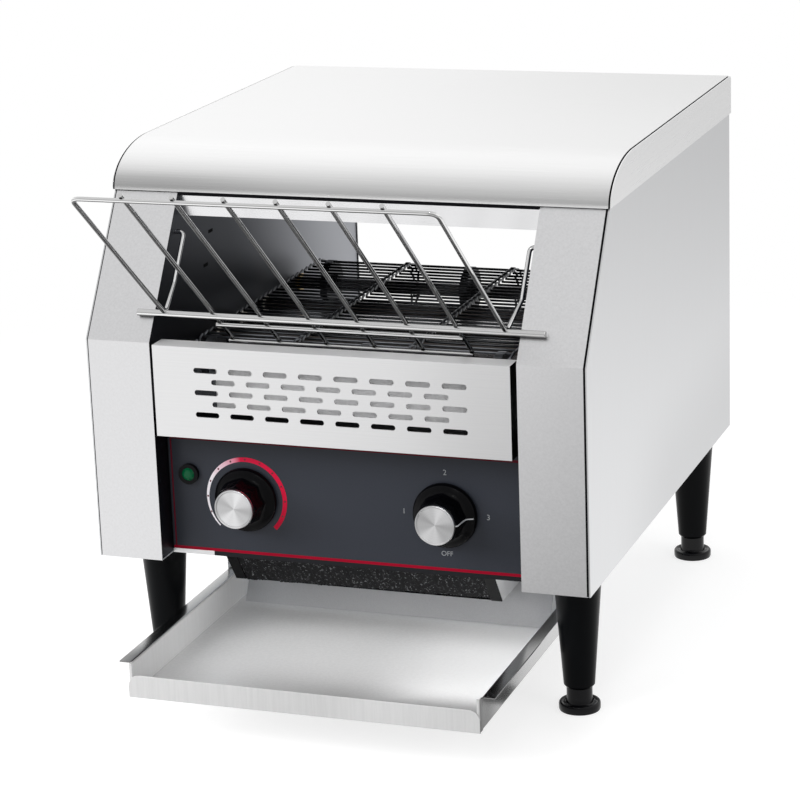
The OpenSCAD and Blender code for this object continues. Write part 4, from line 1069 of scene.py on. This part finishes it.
def floor_material():
    """White to the camera with a soft shadow; in metal it falls off to the back and to the front right."""
    shader = Shader("floor", (0.38, 0.38, 0.38), 0.0, 0.9, Specular_IOR_Level=0.0)
    shader.set("Emission Color", (1, 1, 1, 1))
    path = shader.node("ShaderNodeLightPath").outputs
    place = shader.place()
    distance = shader.node("ShaderNodeVectorMath", operation="LENGTH")
    shader.link(shader.node("ShaderNodeNewGeometry").outputs["Position"], distance.inputs[0])
    seen = shader.larger(path["Is Camera Ray"], path["Is Transmission Ray"])
    shader.set("Emission Strength", shader.times(seen, 0.74))
    far = shader.times(seen, shader.ranged(distance.outputs["Value"], 0.45, 1.1, 0.0, 1.0))
    white = shader.node("ShaderNodeEmission")
    open_floor = shader.mixed_shader(far, shader.bsdf.outputs[0], white.outputs[0])
    back = shader.ranged(place["Y"], 0.0, 2.2, 1.05, 0.66)
    card = shader.times(shader.ranged(place["X"], -0.30, 0.12, 0.0, 1.0),
                        shader.ranged(place["Y"], -0.25, 0.05, 1.0, 0.0))
    mirrored = shader.node("ShaderNodeEmission")
    strength = shader.times(back, shader.minus(1.0, shader.times(card, 0.55)))
    shader.link(strength, mirrored.inputs["Strength"])
    both = shader.mixed_shader(path["Is Glossy Ray"], open_floor, mirrored.outputs[0])
    shader.link(both, shader.tree.nodes["Material Output"].inputs["Surface"])
    return shader


def add_floor(reach=14):
    """A plain square floor; reach is how far it goes each way, in metres."""
    mesh = bpy.data.meshes.new("floor")
    corners = [(x * reach, y * reach, 0) for x, y in ((-1, -1), (1, -1), (1, 1), (-1, 1))]
    mesh.from_pydata(corners, [], [(0, 1, 2, 3)])
    mesh.materials.append(floor_material().mat)
    floor = bpy.data.objects.new("floor", mesh)
    bpy.context.scene.collection.objects.link(floor)


def studio_world():
    """White to the camera; in metal a room that is brighter behind than in front; plain otherwise."""
    world = bpy.data.worlds.new("studio")
    world.use_nodes = True
    nodes = Nodes(world.node_tree)
    sky = world.node_tree.nodes["Background"]
    path = nodes.node("ShaderNodeLightPath").outputs
    way = nodes.split(nodes.node("ShaderNodeTexCoord").outputs["Generated"])
    behind = nodes.ranged(way["Y"], -1.0, 1.0, 0.0, 1.0, "LINEAR")
    room = nodes.strength_ramp(behind, [(0.0, 0.40), (0.1, 0.56), (0.22, 0.66), (0.5, 0.90), (0.72, 1.12),
                                        (0.87, 1.18), (1.0, 1.02)])
    left = nodes.times(nodes.ranged(way["X"], -0.40, -0.18, 0.0, 0.12), behind)
    seen = nodes.larger(path["Is Camera Ray"], path["Is Transmission Ray"])
    plain = nodes.plus(0.42, nodes.times(seen, 0.58))
    glossy = path["Is Glossy Ray"]
    nodes.link(nodes.plus(nodes.times(glossy, nodes.minus(room, left)),
                          nodes.times(nodes.minus(1.0, glossy), plain)), sky.inputs["Strength"])
    sky.inputs["Color"].default_value = (1, 1, 1, 1)
    bpy.context.scene.world = world


def lamp(name, place, target, size, power, mirrored=False):
    """A square soft box; only a mirrored one shows as a highlight in shiny surfaces."""
    data = bpy.data.lights.new(name, "AREA")
    data.shape, data.size, data.energy = "SQUARE", size, power
    obj = bpy.data.objects.new(name, data)
    obj.location = place
    obj.rotation_mode = "QUATERNION"
    obj.rotation_quaternion = (Vector(target) - Vector(place)).to_track_quat("-Z", "Y")
    obj.visible_glossy = mirrored
    bpy.context.scene.collection.objects.link(obj)


add_floor()
studio_world()
lamp("key", (-1.6, -1.9, 1.8), (0, 0, 0.2), 1.4, 46)
lamp("top", (0.1, 0.3, 2.6), (0, 0, 0.2), 1.8, 22)
lamp("fill", (2.2, -0.9, 1.3), (0, 0, 0.2), 1.3, 11)
lamp("low", (0.3, -2.3, 0.95), (0, 0, 0.1), 0.9, 9)
lamp("left", (-2.1, -1.1, 0.95), (0, -0.1, 0.05), 0.8, 34)
lamp("spark", (0.45, -2.1, 1.75), (0, 0, 0.2), 0.18, 2, True)
bpy.context.scene.view_settings.view_transform = "Standard"
